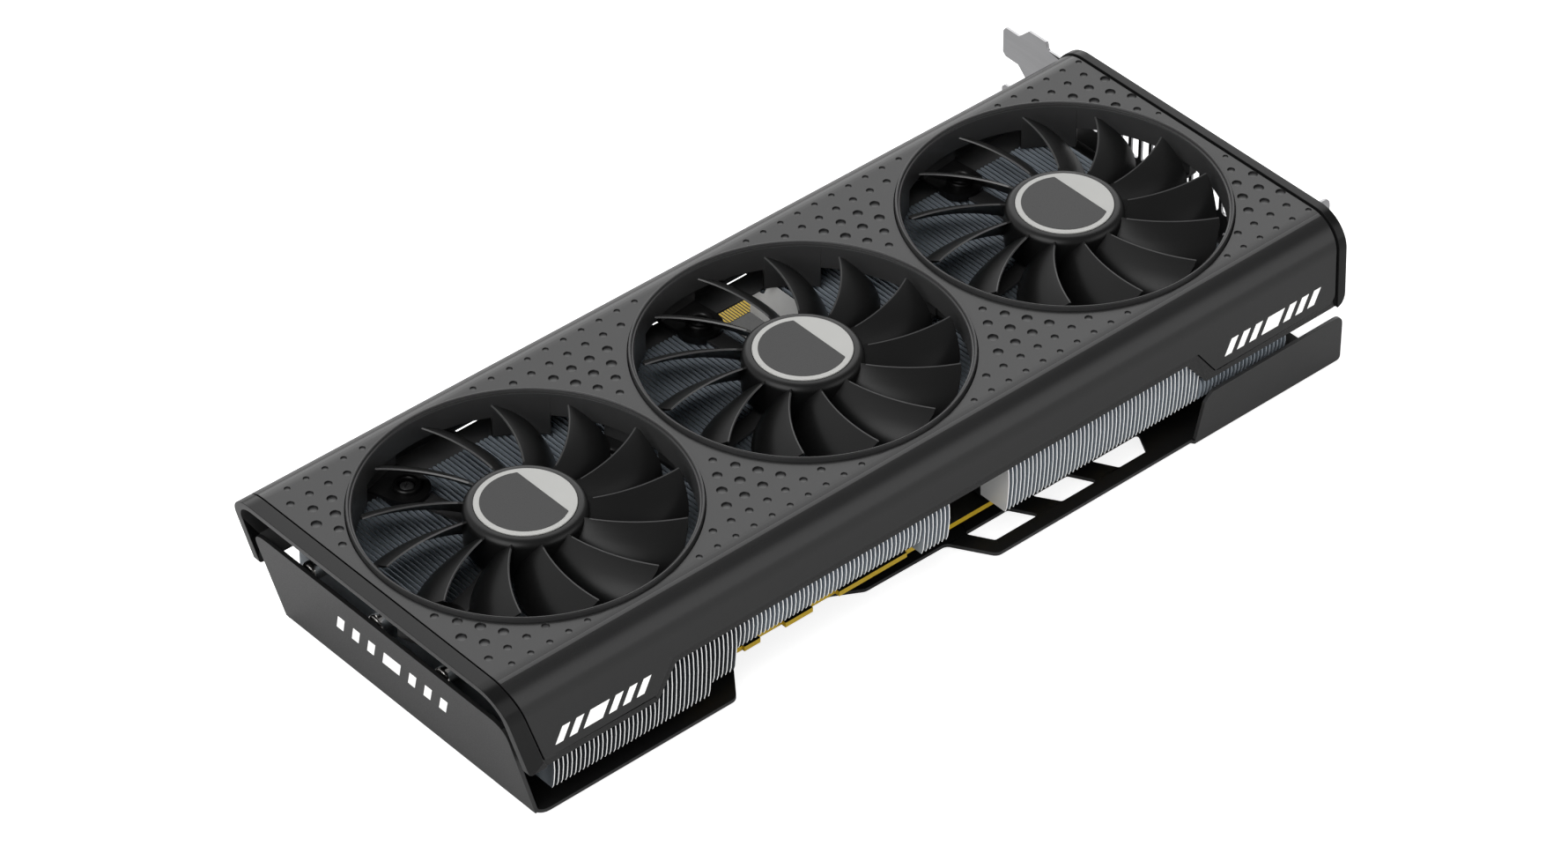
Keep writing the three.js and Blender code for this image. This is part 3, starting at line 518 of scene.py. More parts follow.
# (x, z) outline of the frame seen from the side
FRAME_SIDE = rounded(
    [(-152.1, TOP + 6), (-152.1, TOP), (-144.0, 19.6), (-100.3, 19.6), (-93.7, 29.0),
     (90.5, 28.8), (97.8, 19.8), (151.0, 19.8), (151.0, 40), (150.6, TOP + 6)],
    [0, 0, 1.5, 1, 1, 1, 1, 4.5, 0, 0])
# (x, z) outline of the raised band at the -x end
END_BAND = [(-153, TOP + 6), (-152.1, TOP), (-144.0, 19.6), (-138.0, 19.6),
            (-139.15, 21.9), (-147.35, TOP), (-149.2, TOP + 6)]


def cover_side(gap):
    """(x, z) outline of the cover seen from the side, grown by gap"""
    slant = gap * 0.4
    return rounded(
        [(-148.55 - gap, TOP + 5), (-138.8 - gap, 22.2 - gap), (-101.5 + slant, 22.0 - gap),
         (-95.1 + slant, 31.5 - gap), (94.2 - slant, 31.3 - gap), (101.2 - slant, 22.1 - gap),
         (147.6 + gap, 22.1 - gap), (147.6 + gap, TOP + 5)],
        [0, 1.2, 1, 1, 1, 1, 3.5, 0])


# ------------------------------------------------------------------ shroud frame
FRAME_X0, FRAME_X1 = -153, 151.2
SHROUD_HALF_Y = 60                                     # side outlines are pushed this far
FRAME_INSET, FRAME_INNER = 0.5, 2.6                    # outer and inner face of the wall
FLANGE_X0, FLANGE_X1, FLANGE_Y = -144, 147.5, ((-54.6, -45), (45, 54.6))
SLOT_SPANS = ((19, 26.5), (-8.3, -4.0))                # flange slots, x from the fan axis
SKIRTS = ((42, 62), (118, 148), (222, 242), (298, 318))   # parts hanging from a ring, degrees
SKIRT_LOW = 34.8
# ears: the rounded tabs inside a ring that hold a fan's struts
EAR_LOW, EAR_TOP, EAR_R, EAR_END = 36.05, 37.1, 6.5, 49.5


def ring(fan_x):
    """the duct ring, with a stepped lip along its inner top edge"""
    return lathe(
        [(DUCT_R, DUCT_LOW), (DUCT_OUT, DUCT_LOW), (DUCT_OUT, RING_TOP - 0.3),
         (DUCT_OUT - 0.1, RING_TOP - 0.1), (DUCT_OUT - 0.3, RING_TOP), (46.4, RING_TOP),
         (46.25, RING_TOP - 0.12), (46.17, RING_TOP - 0.8), (45.85, RING_TOP - 0.84),
         (DUCT_R + 0.15, RING_TOP - 0.95), (DUCT_R, RING_TOP - 1.3)], fan_x, 0, 128)


def ring_skirt(start, end):
    wedge = [(0, 0)]
    for angle in (start, (start + end) / 2, end):
        wedge.append((60 * math.cos(angle * RAD), 60 * math.sin(angle * RAD)))
    band = lathe([(DUCT_R, SKIRT_LOW), (DUCT_OUT, SKIRT_LOW), (DUCT_OUT, DUCT_LOW + 1),
                  (DUCT_R, DUCT_LOW + 1)], 0, 0, 128)
    return combine(band, ("&", prism(wedge, "z", 30, 50)))


def frame_ear():
    tab = combine(
        box(STRUT_R, EAR_END, -EAR_R, EAR_R, EAR_LOW, EAR_TOP),
        ("+", cylinder(STRUT_R, 0, EAR_LOW, EAR_TOP, EAR_R, 40)),
        ("+", box(46.5, EAR_END, -EAR_R, EAR_R, EAR_LOW, 46.9)))
    collar = combine(
        lathe([(4.9, 34.75), (EAR_R, 34.75), (EAR_R, 36.5), (4.9, 36.5)], STRUT_R, 0, 48),
        ("-", box(STRUT_R - 9, STRUT_R, -3.3, 3.3, 34, EAR_LOW)))
    return combine(tab, ("+", collar))


def frame_walls():
    side = prism(FRAME_SIDE, "y", -SHROUD_HALF_Y, SHROUD_HALF_Y)
    band = prism(END_BAND, "y", -SHROUD_HALF_Y, SHROUD_HALF_Y)
    walls = combine(shell(FRAME_INSET, FRAME_INNER, FRAME_X0, FRAME_X1), ("&", side))
    walls = combine(
        walls,
        ("+", combine(shell(0, FRAME_INNER, FRAME_X0, -130), ("&", band), ("&", side))),
        ("+", combine(shell(-0.55, FRAME_INNER, 148.0, FRAME_X1), ("&", side))))
    # the rebate that the cover lies in
    recess = combine(shell(-3, 1.45, -152, 150), ("&", prism(cover_side(0.2), "y", -62, 62)))
    return combine(walls, ("-", recess))


def build_frame():
    shape = frame_walls()
    for y0, y1 in FLANGE_Y:
        shape = combine(shape, ("+", box(FLANGE_X0, FLANGE_X1, y0, y1, 29.6, 30.4)))
    slots = [box(fan_x + start, fan_x + end, 52.7, 54.2, 28, 31)
             for fan_x in FAN_X.values() for start, end in SLOT_SPANS]
    shape = combine(shape, ("-", join(slots)))
    skirts = [ring_skirt(*span) for span in SKIRTS]
    for fan_x in FAN_X.values():
        shape = combine(shape, ("-", cylinder(fan_x, 0, 40, 60, DUCT_OUT - 0.02, 128)),
                        ("+", ring(fan_x)))
        for skirt in skirts:
            shape = combine(shape, ("+", moved(skirt, Matrix.Translation((fan_x, 0, 0)))))
    shape = bevelled(tidy(shape), 0.2)
    inside = prism(section(1.5), "x", -150, 149)
    ear = frame_ear()
    for fan, fan_x in FAN_X.items():
        for angle in strut_angles(fan):
            placed = combine(turned(ear, angle, fan_x), ("&", inside))
            shape = combine(shape, ("+", placed))
    return shape


def on_ear(spot, fan):
    """whether a point lies over one of a fan's ears, seen from above"""
    for angle in strut_angles(fan):
        cos, sin = math.cos(angle * RAD), math.sin(angle * RAD)
        outward = (spot.x - FAN_X[fan]) * cos + spot.y * sin
        sideways = -(spot.x - FAN_X[fan]) * sin + spot.y * cos
        if STRUT_R - 7 < outward < 50.5 and abs(sideways) < 6.8:
            return True
    return False


def frame_paint(spot, normal):
    # upward flange faces get painted light, lighter than the frame's black
    if spot.z < 30.6 and 44.9 < abs(spot.y) < 54.9 and abs(normal.z) > 0.5:
        return "flange_grey"
    if 34.6 < spot.z < 37.3:
        for fan, fan_x in FAN_X.items():
            if on_ear(spot, fan):
                off_ring = abs(math.hypot(spot.x - fan_x, spot.y) - 46.3) > 0.9
                return "ear_black" if off_ring or spot.z < 37.2 else "duct_black"
    # inside the ducts the walls take the lighter copy of the black plastic, as painted light
    for fan_x in FAN_X.values():
        if math.hypot(spot.x - fan_x, spot.y) < DUCT_OUT + 0.3:
            if normal.z > 0.5 and spot.z > RING_TOP - 1.2:
                return "cover_grey"
            first_skirt = 40 < math.atan2(spot.y, spot.x - fan_x) / RAD < 64
            return "ear_black" if spot.z < DUCT_LOW - 0.3 and first_skirt else "duct_black"
    between_ends = -143 < spot.x < 147
    # the frame's inside faces also take the painted-light copy of the black plastic
    if abs(spot.y) < 54.7 and spot.z < 47.5 and between_ends:
        return "duct_black"
    if between_ends and abs(spot.y) > 54.7 and abs(normal.y) > 0.5:
        return "border_grey"
    return "frame_black"


piece("frame_shell", build_frame(),
      ["frame_black", "cover_grey", "duct_black", "flange_grey", "ear_black", "border_grey"],
      "shroud_frame", paint=frame_paint)

# ------------------------------------------------------------------ shroud cover with its dimples
DIMPLE_RADII = (0.75, 1.05, 1.3, 1.42, 1.35, 1.05, 0.85)   # one for each row, from the middle out
FIRST_ROW_Y, ROW_PITCH = 13.44, 5.46
DIMPLE_START_X, DIMPLE_PITCH = 48.52, 6.3
DIMPLE_X0, DIMPLE_X1 = -144, 146.5
FAN_CLEARANCE = 48.7


def dimples():
    """(x, y, radius), mirrored about both axes and kept clear of the fans"""
    found = []
    for row, radius in enumerate(DIMPLE_RADII):
        stagger = 0 if row % 2 else DIMPLE_PITCH / 2
        y = FIRST_ROW_Y + ROW_PITCH * row
        for side in (-1, 1):
            for end in (-1, 1):
                for j in range(-16, 17):
                    x = end * (DIMPLE_START_X + DIMPLE_PITCH * j + stagger)
                    if (x < 0) != (end < 0) or not DIMPLE_X0 <= x <= DIMPLE_X1:
                        continue
                    if min(math.hypot(x - fan_x, y) for fan_x in FAN_X.values()) < FAN_CLEARANCE:
                        continue
                    found.append((round(x, 3), side * y, radius))
    return sorted(found)


def bowl(x, y, radius):
    """cutter for one flat-floored dimple"""
    depth = radius * 0.52
    rim = radius * 1.06
    return lathe(
        [(0, TOP - depth * 0.97), (0.5 * rim, TOP - depth), (0.86 * rim, TOP - depth),
         (0.93 * rim, TOP - depth * 0.9), (0.98 * rim, TOP - depth * 0.08), (1.02 * rim, TOP),
         (1.03 * rim, TOP + 0.4), (0, TOP + 0.4)], x, y, 20)


def build_cover():
    side = prism(cover_side(0), "y", -SHROUD_HALF_Y, SHROUD_HALF_Y)
    shape = combine(shell(0, COVER_T, -152, 149), ("&", side))
    for fan_x in FAN_X.values():
        shape = combine(shape, ("-", cylinder(fan_x, 0, 40, 60, 47.3, 128)))
    shape = bevelled(tidy(shape), 0.22)
    return combine(shape, ("-", join([bowl(*dimple) for dimple in dimples()])))


def cover_paint(spot, normal):
    # flat dimple floors are painted lighter than the cover, as painted light
    in_pit = normal.z > 0.9 and TOP - 1.2 < spot.z < TOP - 0.25 and abs(spot.y) < 50
    return "pit_floor" if in_pit else "cover_grey"


piece("cover_shell", build_cover(), ["cover_grey", "pit_floor"], "shroud_cover",
      paint=cover_paint)

# ------------------------------------------------------------------ backplate
PLATE_T, PLATE_NEAR_Y, PLATE_FAR_Y = 1.2, -57.4, 52.5
# (x, y) outline of the sheet
PLATE_OUTLINE = rounded(
    [(CAP_X, -53.6), (-70.8, -53.6), (-59.0, -38.3), (-25.0, -38.5), (-16.0, -43.6),
     (12.9, -44.0), (20.6, -56.4), (93.4, -56.4), (94.0, PLATE_NEAR_Y), (147.8, PLATE_NEAR_Y),
     (147.8, PLATE_FAR_Y), (CAP_X, PLATE_FAR_Y)],
    [4, 3, 3, 5, 3, 2.5, 3, 0, 0, 1, 3, 2])
# (x, z) outline of the low wall on the near edge, towards the bracket
PLATE_WALL = rounded([(94.0, 0), (151.0, 0), (151.0, 15.7), (100.4, 15.4), (97.4, 12.8)],
                     [0, 1.5, 3.3, 1.2, 1])
# (x, y) corners of three openings along the near edge
NEAR_OPENINGS = (
    [(19.4, -44.1), (35.7, -44.1), (40.4, -51.8), (24.0, -51.8)],
    [(43.9, -44.2), (57.9, -44.2), (62.2, -51.9), (48.8, -51.9)],
    [(66.2, -44.2), (84.9, -44.2), (80.8, -51.8), (70.5, -51.8)],
)
GPU_OPENING = 27                                       # half width of the square opening


def build_backplate():
    shape = prism(PLATE_OUTLINE, "z", 0, PLATE_T)
    wall = prism(PLATE_WALL, "y", PLATE_NEAR_Y, PLATE_NEAR_Y + PLATE_T)
    shape = combine(shape, ("+", wall))
    cap_outline = [(-52.2, 0), (52.2, 0), (52.2, 36.3), (-52.2, 36.3)]
    cap = moved(prism(rounded(cap_outline, [0, 0, 6, 6], 8), "x", 0, PLATE_T), CAP_PLACE)
    cap = combine(cap, ("&", box(-160, -130, -60, 60, 0, 60)))
    shape = combine(shape, ("+", cap))
    cuts = [prism(rounded(corners, 1.0), "z", -1, 2) for corners in NEAR_OPENINGS]
    square = [(GPU_X + x * GPU_OPENING, y * GPU_OPENING)
              for x, y in ((-1, -1), (1, -1), (1, 1), (-1, 1))]
    cuts.append(prism(rounded(square, 4), "z", -1, 2))
    for i in range(5):                                 # slanted slots by the end cap
        x = -128 + i * 9.2
        slot = [(x, -34), (x + 4.2, -34), (x + 12.2, 34), (x + 8, 34)]
        cuts.append(prism(rounded(slot, 1.2), "z", -1, 2))
    return combine(shape, ("-", join(cuts)))


def backplate_paint(spot, normal):
    """inner faces of the sheet, the leaning cap and the near wall get painted shade, a darker copy of
    the backplate grey
    """
    cap_inward = normal.x * 0.965 + normal.z * 0.262
    sheet = spot.z < 2 and normal.z > 0.5
    cap = spot.x < -136 and spot.z > 1.3 and (cap_inward > 0.5 or normal.z > 0.7)
    wall = spot.x > 93 and spot.y < -55 and normal.y > 0.5
    return "backplate_inside" if sheet or cap or wall else "backplate_grey"


piece("backplate_sheet", build_backplate(), ["backplate_grey", "backplate_inside"],
      "backplate", bevel=0.14, paint=backplate_paint)

# ------------------------------------------------------------------ fins
FIN_PITCH, FIN_T = 1.48, 0.3
SHOULDER_Z, CROWN_Z = 28.6, 34.5                       # heights beside and under the fans
CROWN_Y, FIN_NEAR_Y, FIN_FAR_Y = 44.5, -54.0, 50.0


def fin_outline(x, near_low, low):
    """(y, z) outline; under the shroud's border the near edge bows out past its wall"""
    lip = 19.2 if x < -99.5 or x > 97 else 28.0
    bow = lip - near_low
    points = [(-54.3, near_low), (-54.85, near_low + bow * 0.12), (-55.2, near_low + bow * 0.35),
              (-55.45, near_low + bow * 0.62), (-55.3, near_low + bow * 0.86), (-54.9, lip),
              (FIN_NEAR_Y, lip + 0.4), (FIN_NEAR_Y, SHOULDER_Z)]
    # from the shoulder up to the crown and down again
    points += [(-CROWN_Y - 0.6, SHOULDER_Z), (-CROWN_Y + 0.4, SHOULDER_Z + 0.5),
               (-CROWN_Y + 2.4, CROWN_Z - 0.5), (-CROWN_Y + 3.4, CROWN_Z),
               (CROWN_Y - 3.4, CROWN_Z), (CROWN_Y - 2.4, CROWN_Z - 0.5),
               (CROWN_Y - 0.4, SHOULDER_Z + 0.5), (CROWN_Y + 0.6, SHOULDER_Z),
               (FIN_FAR_Y, SHOULDER_Z), (FIN_FAR_Y, low)]
    if abs(low - near_low) > 0.2:
        points += [(-44.4, low), (-44.6, near_low)]
    return points


def fin_stack(x0, x1, lows):
    """lows(x) gives a fin's bottom along the near edge and over the rest"""
    verts, faces = [], []
    for i in range(int((x1 - x0 - FIN_T) / FIN_PITCH) + 1):
        x = x0 + i * FIN_PITCH
        points = fin_outline(x, *lows(x))
        count, first = len(points), len(verts)
        second = first + count
        verts += [(x, y, z) for y, z in points] + [(x + FIN_T, y, z) for y, z in points]
        faces += [[first + j for j in range(count)][::-1], [second + j for j in range(count)]]
        for j in range(count):
            k = (j + 1) % count
            faces.append([first + j, first + k, second + k, second + j])
    return mesh(verts, faces)


def left_lows(x):
    near = 8.2 if x < -81 else 12.2 if x < -71 else 19.1 if x < -6 else 14.6
    return near, near if x < -71 else 17.5


def right_lows(x):
    return 12.2, 19.2


def fin_paint(spot, normal):
    if abs(normal.x) > 0.5:
        # the open end face of the +x stack, painted lighter and with a faint glow as painted light
        return "fin_end_face" if normal.x < 0 and 20 < spot.x < 25.2 else "fin_aluminium"
    # top edges get painted shade
    if normal.z > 0.5 and spot.y > -50:
        return "fin_top_edge"
    # near cut edges get the glowing painted highlight
    return "fin_cut_edge" if spot.y < -50 and spot.x < 97 else "fin_aluminium"


for side, x0, x1, lows in (("left", -134.5, 4.9, left_lows), ("right", 24.9, 131.5, right_lows)):
    piece(f"fins_{side}", fin_stack(x0, x1, lows),
          ["fin_aluminium", "fin_cut_edge", "fin_top_edge", "fin_end_face"],
          f"fin_stack_{side}", smooth=20, weighted=False, paint=fin_paint)

# ------------------------------------------------------------------ heat pipes
PIPE_R, PIPE_SEGMENTS = 2.9, 32
PIPE_LOW_Z, PIPE_HIGH_Z = 15.9, 24.85
PIPE_X = ([74 - i * 0.9 for i in range(77)]            # fine stations through the bends
          + [-i * 10 for i in range(14)] + [-139.5])
PIPE_Y = ((8, 38.5), (0, 10.5), (-8, -17))             # y before and after the bend, going to -x


def ease(x, start, end):
    """0 at start, 1 at end, going towards -x"""
    done = max(0, min(1, (start - x) / (start - end)))
    return done * done * (3 - 2 * done)


def pipe_dome(end_ring, reach, steps):
    """rings that close a pipe end, from the open end outwards"""
    centre, side, top, radius = end_ring
    rings = []
    for k in range(1, steps + 1):
        turn = k / steps * math.pi / 2
        rings.append((centre + Vector((reach * math.sin(turn), 0, 0)), side, top,
                      max(0.25, radius * math.cos(turn) ** 0.8)))
    return rings


def pipe(y0, y1):
    path = [Vector((x, y0 + (y1 - y0) * ease(x, 38, 6),
                    PIPE_LOW_Z + (PIPE_HIGH_Z - PIPE_LOW_Z) * ease(x, 24, 5.4)))
            for x in PIPE_X]
    rings = []
    for i, centre in enumerate(path):
        along = (path[min(i + 1, len(path) - 1)] - path[max(i - 1, 0)]).normalized()
        side = along.cross(Vector((0, 0, 1))).normalized()
        rings.append((centre, side, side.cross(along).normalized(), PIPE_R))
    rings = pipe_dome(rings[0], 2.2, 4)[::-1] + rings + pipe_dome(rings[-1], -2.0, 5)
    turns = [2 * math.pi * k / PIPE_SEGMENTS for k in range(PIPE_SEGMENTS)]
    verts, faces = [], []
    for centre, side, top, radius in rings:
        verts += [centre + side * (radius * math.cos(turn)) + top * (radius * math.sin(turn))
                  for turn in turns]
    last = (len(rings) - 1) * PIPE_SEGMENTS
    for here in range(0, last, PIPE_SEGMENTS):
        after = here + PIPE_SEGMENTS
        for k in range(PIPE_SEGMENTS):
            j = (k + 1) % PIPE_SEGMENTS
            faces.append([here + k, here + j, after + j, after + k])
    faces += [list(range(PIPE_SEGMENTS)), [last + k for k in range(PIPE_SEGMENTS)]]
    return mesh(verts, faces)


for i, (y0, y1) in enumerate(PIPE_Y, 1):
    piece(f"pipe_{i}", pipe(y0, y1), ["pipe_nickel"], f"heat_pipe_{i}", smooth=40)

# ------------------------------------------------------------------ rotors and badges
BLADES, FIRST_BLADE = 13, 301.3                        # count, angle of the first in degrees
BLADE_ROOT, TIP_R, BLADE_TOP, BLADE_DROP = 15.9, 43.2, 48.15, 10.1
RADIAL_ROWS = 15
CHORD = [0, 0.018, 0.1] + [j / 10 for j in range(3, 11)]   # stations, leading to trailing edge
HUB_R, HUB_TOP, HUB_BOTTOM, HUB_EDGE_R, HUB_EDGE_Z = 16.75, 49.2, 37.0, 2.3, 46.9
INLAY_R, INLAY_CUT, INLAY_CORNER = 12.14, 6.0, 1.1     # disc cut straight along x = INLAY_CUT


def blade_points(phase, row, chord):
    """the upper and the lower point of a blade at one row and chord station"""
    tip = (TIP_R - 2.16 * max(0, (chord - 0.55) / 0.45) ** 3
           - 0.5 * max(0, (0.08 - chord) / 0.08) ** 2)
    radius = BLADE_ROOT + (tip - BLADE_ROOT) * (row / (RADIAL_ROWS - 1))
    outward = max(0.0, (radius - 17.4) / (TIP_R - 17.4))
    lead, span = 11 * outward ** 1.25, 26 - 9.8 * outward
    angle = (phase + lead - span * (1.45 * chord - 0.45 * chord * chord)) * RAD
    z = BLADE_TOP - BLADE_DROP * chord
    # thickness is laid off square to the blade's slope
    run = -span * (1.45 - 0.9 * chord) * RAD * radius
    length = math.hypot(run, BLADE_DROP)
    thick = (0.42 + 0.75 * math.sin(math.pi * min(1, chord + 0.02)) ** 0.8) * (1 - 0.25 * outward)
    around, upward = (BLADE_DROP / length * thick) / 2, (run / length * thick) / 2
    points = []
    for side in (1, -1):
        turn = angle - side * around / radius
        points.append((radius * math.cos(turn), radius * math.sin(turn), z - side * upward))
    return points


def blade(phase):
    rows, columns = RADIAL_ROWS, len(CHORD)
    pairs = [blade_points(phase, i, chord) for i in range(rows) for chord in CHORD]
    verts = [pair[side] for side in (0, 1) for pair in pairs]

    def at(side, i, j):
        return (side * rows + i) * columns + j

    faces = []
    tip, trail = rows - 1, columns - 1
    for i in range(tip):
        for j in range(trail):
            faces.append([at(0, i, j), at(0, i + 1, j), at(0, i + 1, j + 1), at(0, i, j + 1)])
            faces.append([at(1, i, j), at(1, i, j + 1), at(1, i + 1, j + 1), at(1, i + 1, j)])
        faces.append([at(0, i, 0), at(1, i, 0), at(1, i + 1, 0), at(0, i + 1, 0)])
        faces.append([at(0, i, trail), at(0, i + 1, trail), at(1, i + 1, trail), at(1, i, trail)])
    for j in range(trail):
        faces.append([at(0, 0, j), at(0, 0, j + 1), at(1, 0, j + 1), at(1, 0, j)])
        faces.append([at(0, tip, j), at(1, tip, j), at(1, tip, j + 1), at(0, tip, j + 1)])
    return mesh(verts, faces)


def rotor():
    profile = [(15.3, HUB_BOTTOM), (16.55, HUB_BOTTOM), (HUB_R, HUB_BOTTOM + 0.2),
               (HUB_R, HUB_EDGE_Z)]
    for k in range(1, 9):
        turn = k / 8 * math.pi / 2
        profile.append((HUB_R - HUB_EDGE_R + HUB_EDGE_R * math.cos(turn),
                        HUB_EDGE_Z + HUB_EDGE_R * math.sin(turn)))
    profile += [(13.95, HUB_TOP), (13.8, HUB_TOP - 0.18), (0, HUB_TOP - 0.18), (0, 45.2),
                (2.6, 45.2), (2.6, 47.5), (15.3, 47.5)]
    blades = [blade(FIRST_BLADE + k * 360 / BLADES) for k in range(BLADES)]
    return join([lathe(profile)] + blades)


def rotor_paint(spot, normal):
    # the strip along each blade's top edge is a painted highlight
    on_edge = spot.z > BLADE_TOP - 0.3 and 17.2 < math.hypot(spot.x, spot.y) < 43.1
    return "blade_edge" if on_edge else "blade_black"


def badge_disc():
    return lathe([(0, HUB_TOP - 0.14), (13.7, HUB_TOP - 0.14), (13.75, 49.36), (13.6, 49.5),
                  (0, 49.5)])


def badge_inlay():
    """disc with its +x side cut off straight and the two corners there eased"""
    start = math.acos(INLAY_CUT / INLAY_R)
    turns = [start + (2 * math.pi - 2 * start) * k / 64 for k in range(65)]
    points = [(INLAY_R * math.cos(turn), INLAY_R * math.sin(turn)) for turn in turns]
    corner_y = math.sqrt(INLAY_R * INLAY_R - INLAY_CUT * INLAY_CUT)
    # points too close to a corner would fold over its easing
    arc = [(x, y) for x, y in points[1:-1]
           if math.hypot(x - INLAY_CUT, abs(y) - corner_y) > INLAY_CORNER * 1.5]
    ease_r = INLAY_CORNER * 0.55
    outline = rounded([points[0], *arc, points[-1]], [ease_r] + [0] * len(arc) + [ease_r], 5)
    return bevelled(prism(outline, "z", 49.42, 49.6), 0.06, angle=50)


rotor_shape = rotor()
for fan, fan_x in FAN_X.items():
    body = f"fan_{fan}"
    piece(f"rotor_{fan}", rotor_shape.copy(), ["blade_black", "blade_edge"],
          f"fan_rotor_{fan}", body=body, smooth=32, at_x=fan_x, weighted=False,
          paint=rotor_paint)
    piece(f"badge_{fan}", badge_disc(), ["badge_silver"], f"hub_badge_{fan}",
          body=body, at_x=fan_x, smooth=30)
    piece(f"badge_inlay_{fan}", badge_inlay(), ["badge_inlay"], body=body,
          at_x=fan_x, smooth=30)

# ------------------------------------------------------------------ fan bases and their screws
ARM_LOW, ARM_TOP = 34.85, 35.8
# (x, y) outline of one arm, from the hub out to its screw
ARM = [(12, -4.2), (22, -2.6), (STRUT_R - 4, -2.8), (STRUT_R - 4, 2.8), (22, 2.6), (12, 4.2)]
# (radius, z) outlines: the hub plate with its bearing tube, and the collar around a screw
BASE_HUB = [(0, 34.8), (15.2, 34.8), (15.5, 35.0), (15.5, 36.1), (15.3, 36.3), (3.9, 36.3),
            (3.9, 44.4), (3.7, 44.6), (2.95, 44.6), (2.95, 36.1), (0, 36.1)]
COLLAR = [(2.5, 37.0), (3.9, 37.0), (3.9, 38.2), (3.6, 38.5), (2.8, 38.5), (2.5, 38.2)]


def fan_base(fan):
    shape = lathe(BASE_HUB, 0, 0, 72)
    arm = combine(prism(ARM, "z", ARM_LOW, ARM_TOP),
                  ("+", cylinder(STRUT_R, 0, ARM_LOW, ARM_TOP, 4.6, 40)),
                  ("+", box(14, STRUT_R - 3, -0.6, 0.6, 34.2, 35.0)))
    for angle in strut_angles(fan):
        shape = combine(shape, ("+", turned(arm, angle)))
    return shape


def screw(x, y, z0, radius, height, recess):
    """pan head with a cross recess"""
    top = z0 + height
    head = lathe([(0, z0), (radius - 0.15, z0), (radius, z0 + 0.15), (radius, z0 + height * 0.55),
                  (radius * 0.86, z0 + height * 0.86), (radius * 0.6, top), (0, top)], 0, 0, 32)
    long, thin = radius * 0.6, radius * 0.16
    cross = combine(box(-long, long, -thin, thin, top - recess, top + 1),
                    ("+", box(-thin, thin, -long, long, top - recess, top + 1)))
    return turned(combine(head, ("-", turned(cross, 28))), 0, x, y)


for fan, fan_x in FAN_X.items():
    # fan bases share the duct's painted-light copy of the black plastic
    piece(f"base_{fan}", fan_base(fan), ["duct_black"], f"fan_base_{fan}",
          bevel=0.15, at_x=fan_x)
    spots = [(STRUT_R * math.cos(angle * RAD), STRUT_R * math.sin(angle * RAD))
             for angle in strut_angles(fan)]
    heads = [screw(x, y, EAR_TOP, radius=1.9, height=0.8, recess=0.6) for x, y in spots]
    piece(f"fan_screws_{fan}", join(heads), ["screw_dim"], at_x=fan_x)
    piece(f"screw_collars_{fan}", join([lathe(COLLAR, x, y, 40) for x, y in spots]),
          ["ear_black"], at_x=fan_x)

# ------------------------------------------------------------------ slot bracket, video sockets
BRACKET_X0, BRACKET_X1, BRACKET_NEAR_Y = 151.6, 152.5, -37.9
# (y, z) outline of the sheet
BRACKET = [
    (BRACKET_NEAR_Y, 3.9), (72.8, 3.9), (76.9, 8.1), (82.0, 8.2), (83.2, 9.4), (83.2, 17.1),
    (82.0, 18.3), (76.9, 18.3), (72.3, 22.6), (72.3, 24.2), (76.7, 28.4), (82.0, 28.5),
    (83.2, 29.7), (83.2, 37.3), (82.2, 38.6), (76.6, 38.5), (72.5, 42.5), (65.0, 42.5),
    (64.6, 40.1), (BRACKET_NEAR_Y, 40.1)]
# (x, z) outline of the folded, notched flange
BRACKET_FLANGE = [(BRACKET_X0, 5.0), (163.9, 5.0), (163.9, 17.2), (160.2, 17.2),
                  (160.2, 21.8), (163.9, 21.8), (163.9, 39.4), (BRACKET_X0, 39.4)]
# y of both sides, top of the socket, top of its opening in the bracket
SOCKETS = ((-27, -9, 16.0, 16.3), (-5, 13, 16.0, 16.3), (17, 35, 16.0, 16.3),
           (39.5, 54.5, 15.2, 15.45))
SOCKET_GAP = 0.3
VENTS, VENT_Y, VENT_W, VENT_PITCH = 21, -27, 2.9, 4.1


def build_bracket():
    shape = prism(rounded(BRACKET, [0] + [0.8] * 18 + [0], 4), "x", BRACKET_X0, BRACKET_X1)
    flange = rounded(BRACKET_FLANGE, [0, 3, 1, 1, 1, 1, 3, 0])
    shape = combine(shape, ("+", prism(flange, "y", BRACKET_NEAR_Y, -37.0)))
    holes = []
    for i in range(VENTS):
        y = i * VENT_PITCH
        holes.append(round_rect(VENT_Y + y, VENT_Y + VENT_W + y, 22.5, 37.0, 1.3, 4))
    for y0, y1, _, top in SOCKETS:
        holes.append(round_rect(y0 - SOCKET_GAP, y1 + SOCKET_GAP, 8.6, top, 0.9, 4))
    return combine(shape, ("-", join([prism(hole, "x", 151, 153) for hole in holes])))


def bracket_paint(spot, normal):
    # the bracket's inner face gets painted shade
    inner = normal.x < -0.7 and spot.z > 0 and abs(spot.y) < 52
    return "bracket_inner_steel" if inner else "bracket_steel"


def socket_shell(y0, y1, top):
    outer = round_rect(y0, y1, MOUNT_Z, top, 0.9, 4)
    inner = round_rect(y0 + 0.8, y1 - 0.8, MOUNT_Z + 0.9, top - 0.7, 0.7, 4)
    return combine(prism(outer, "x", 133, 152.2), ("-", prism(inner, "x", 137, 153)))


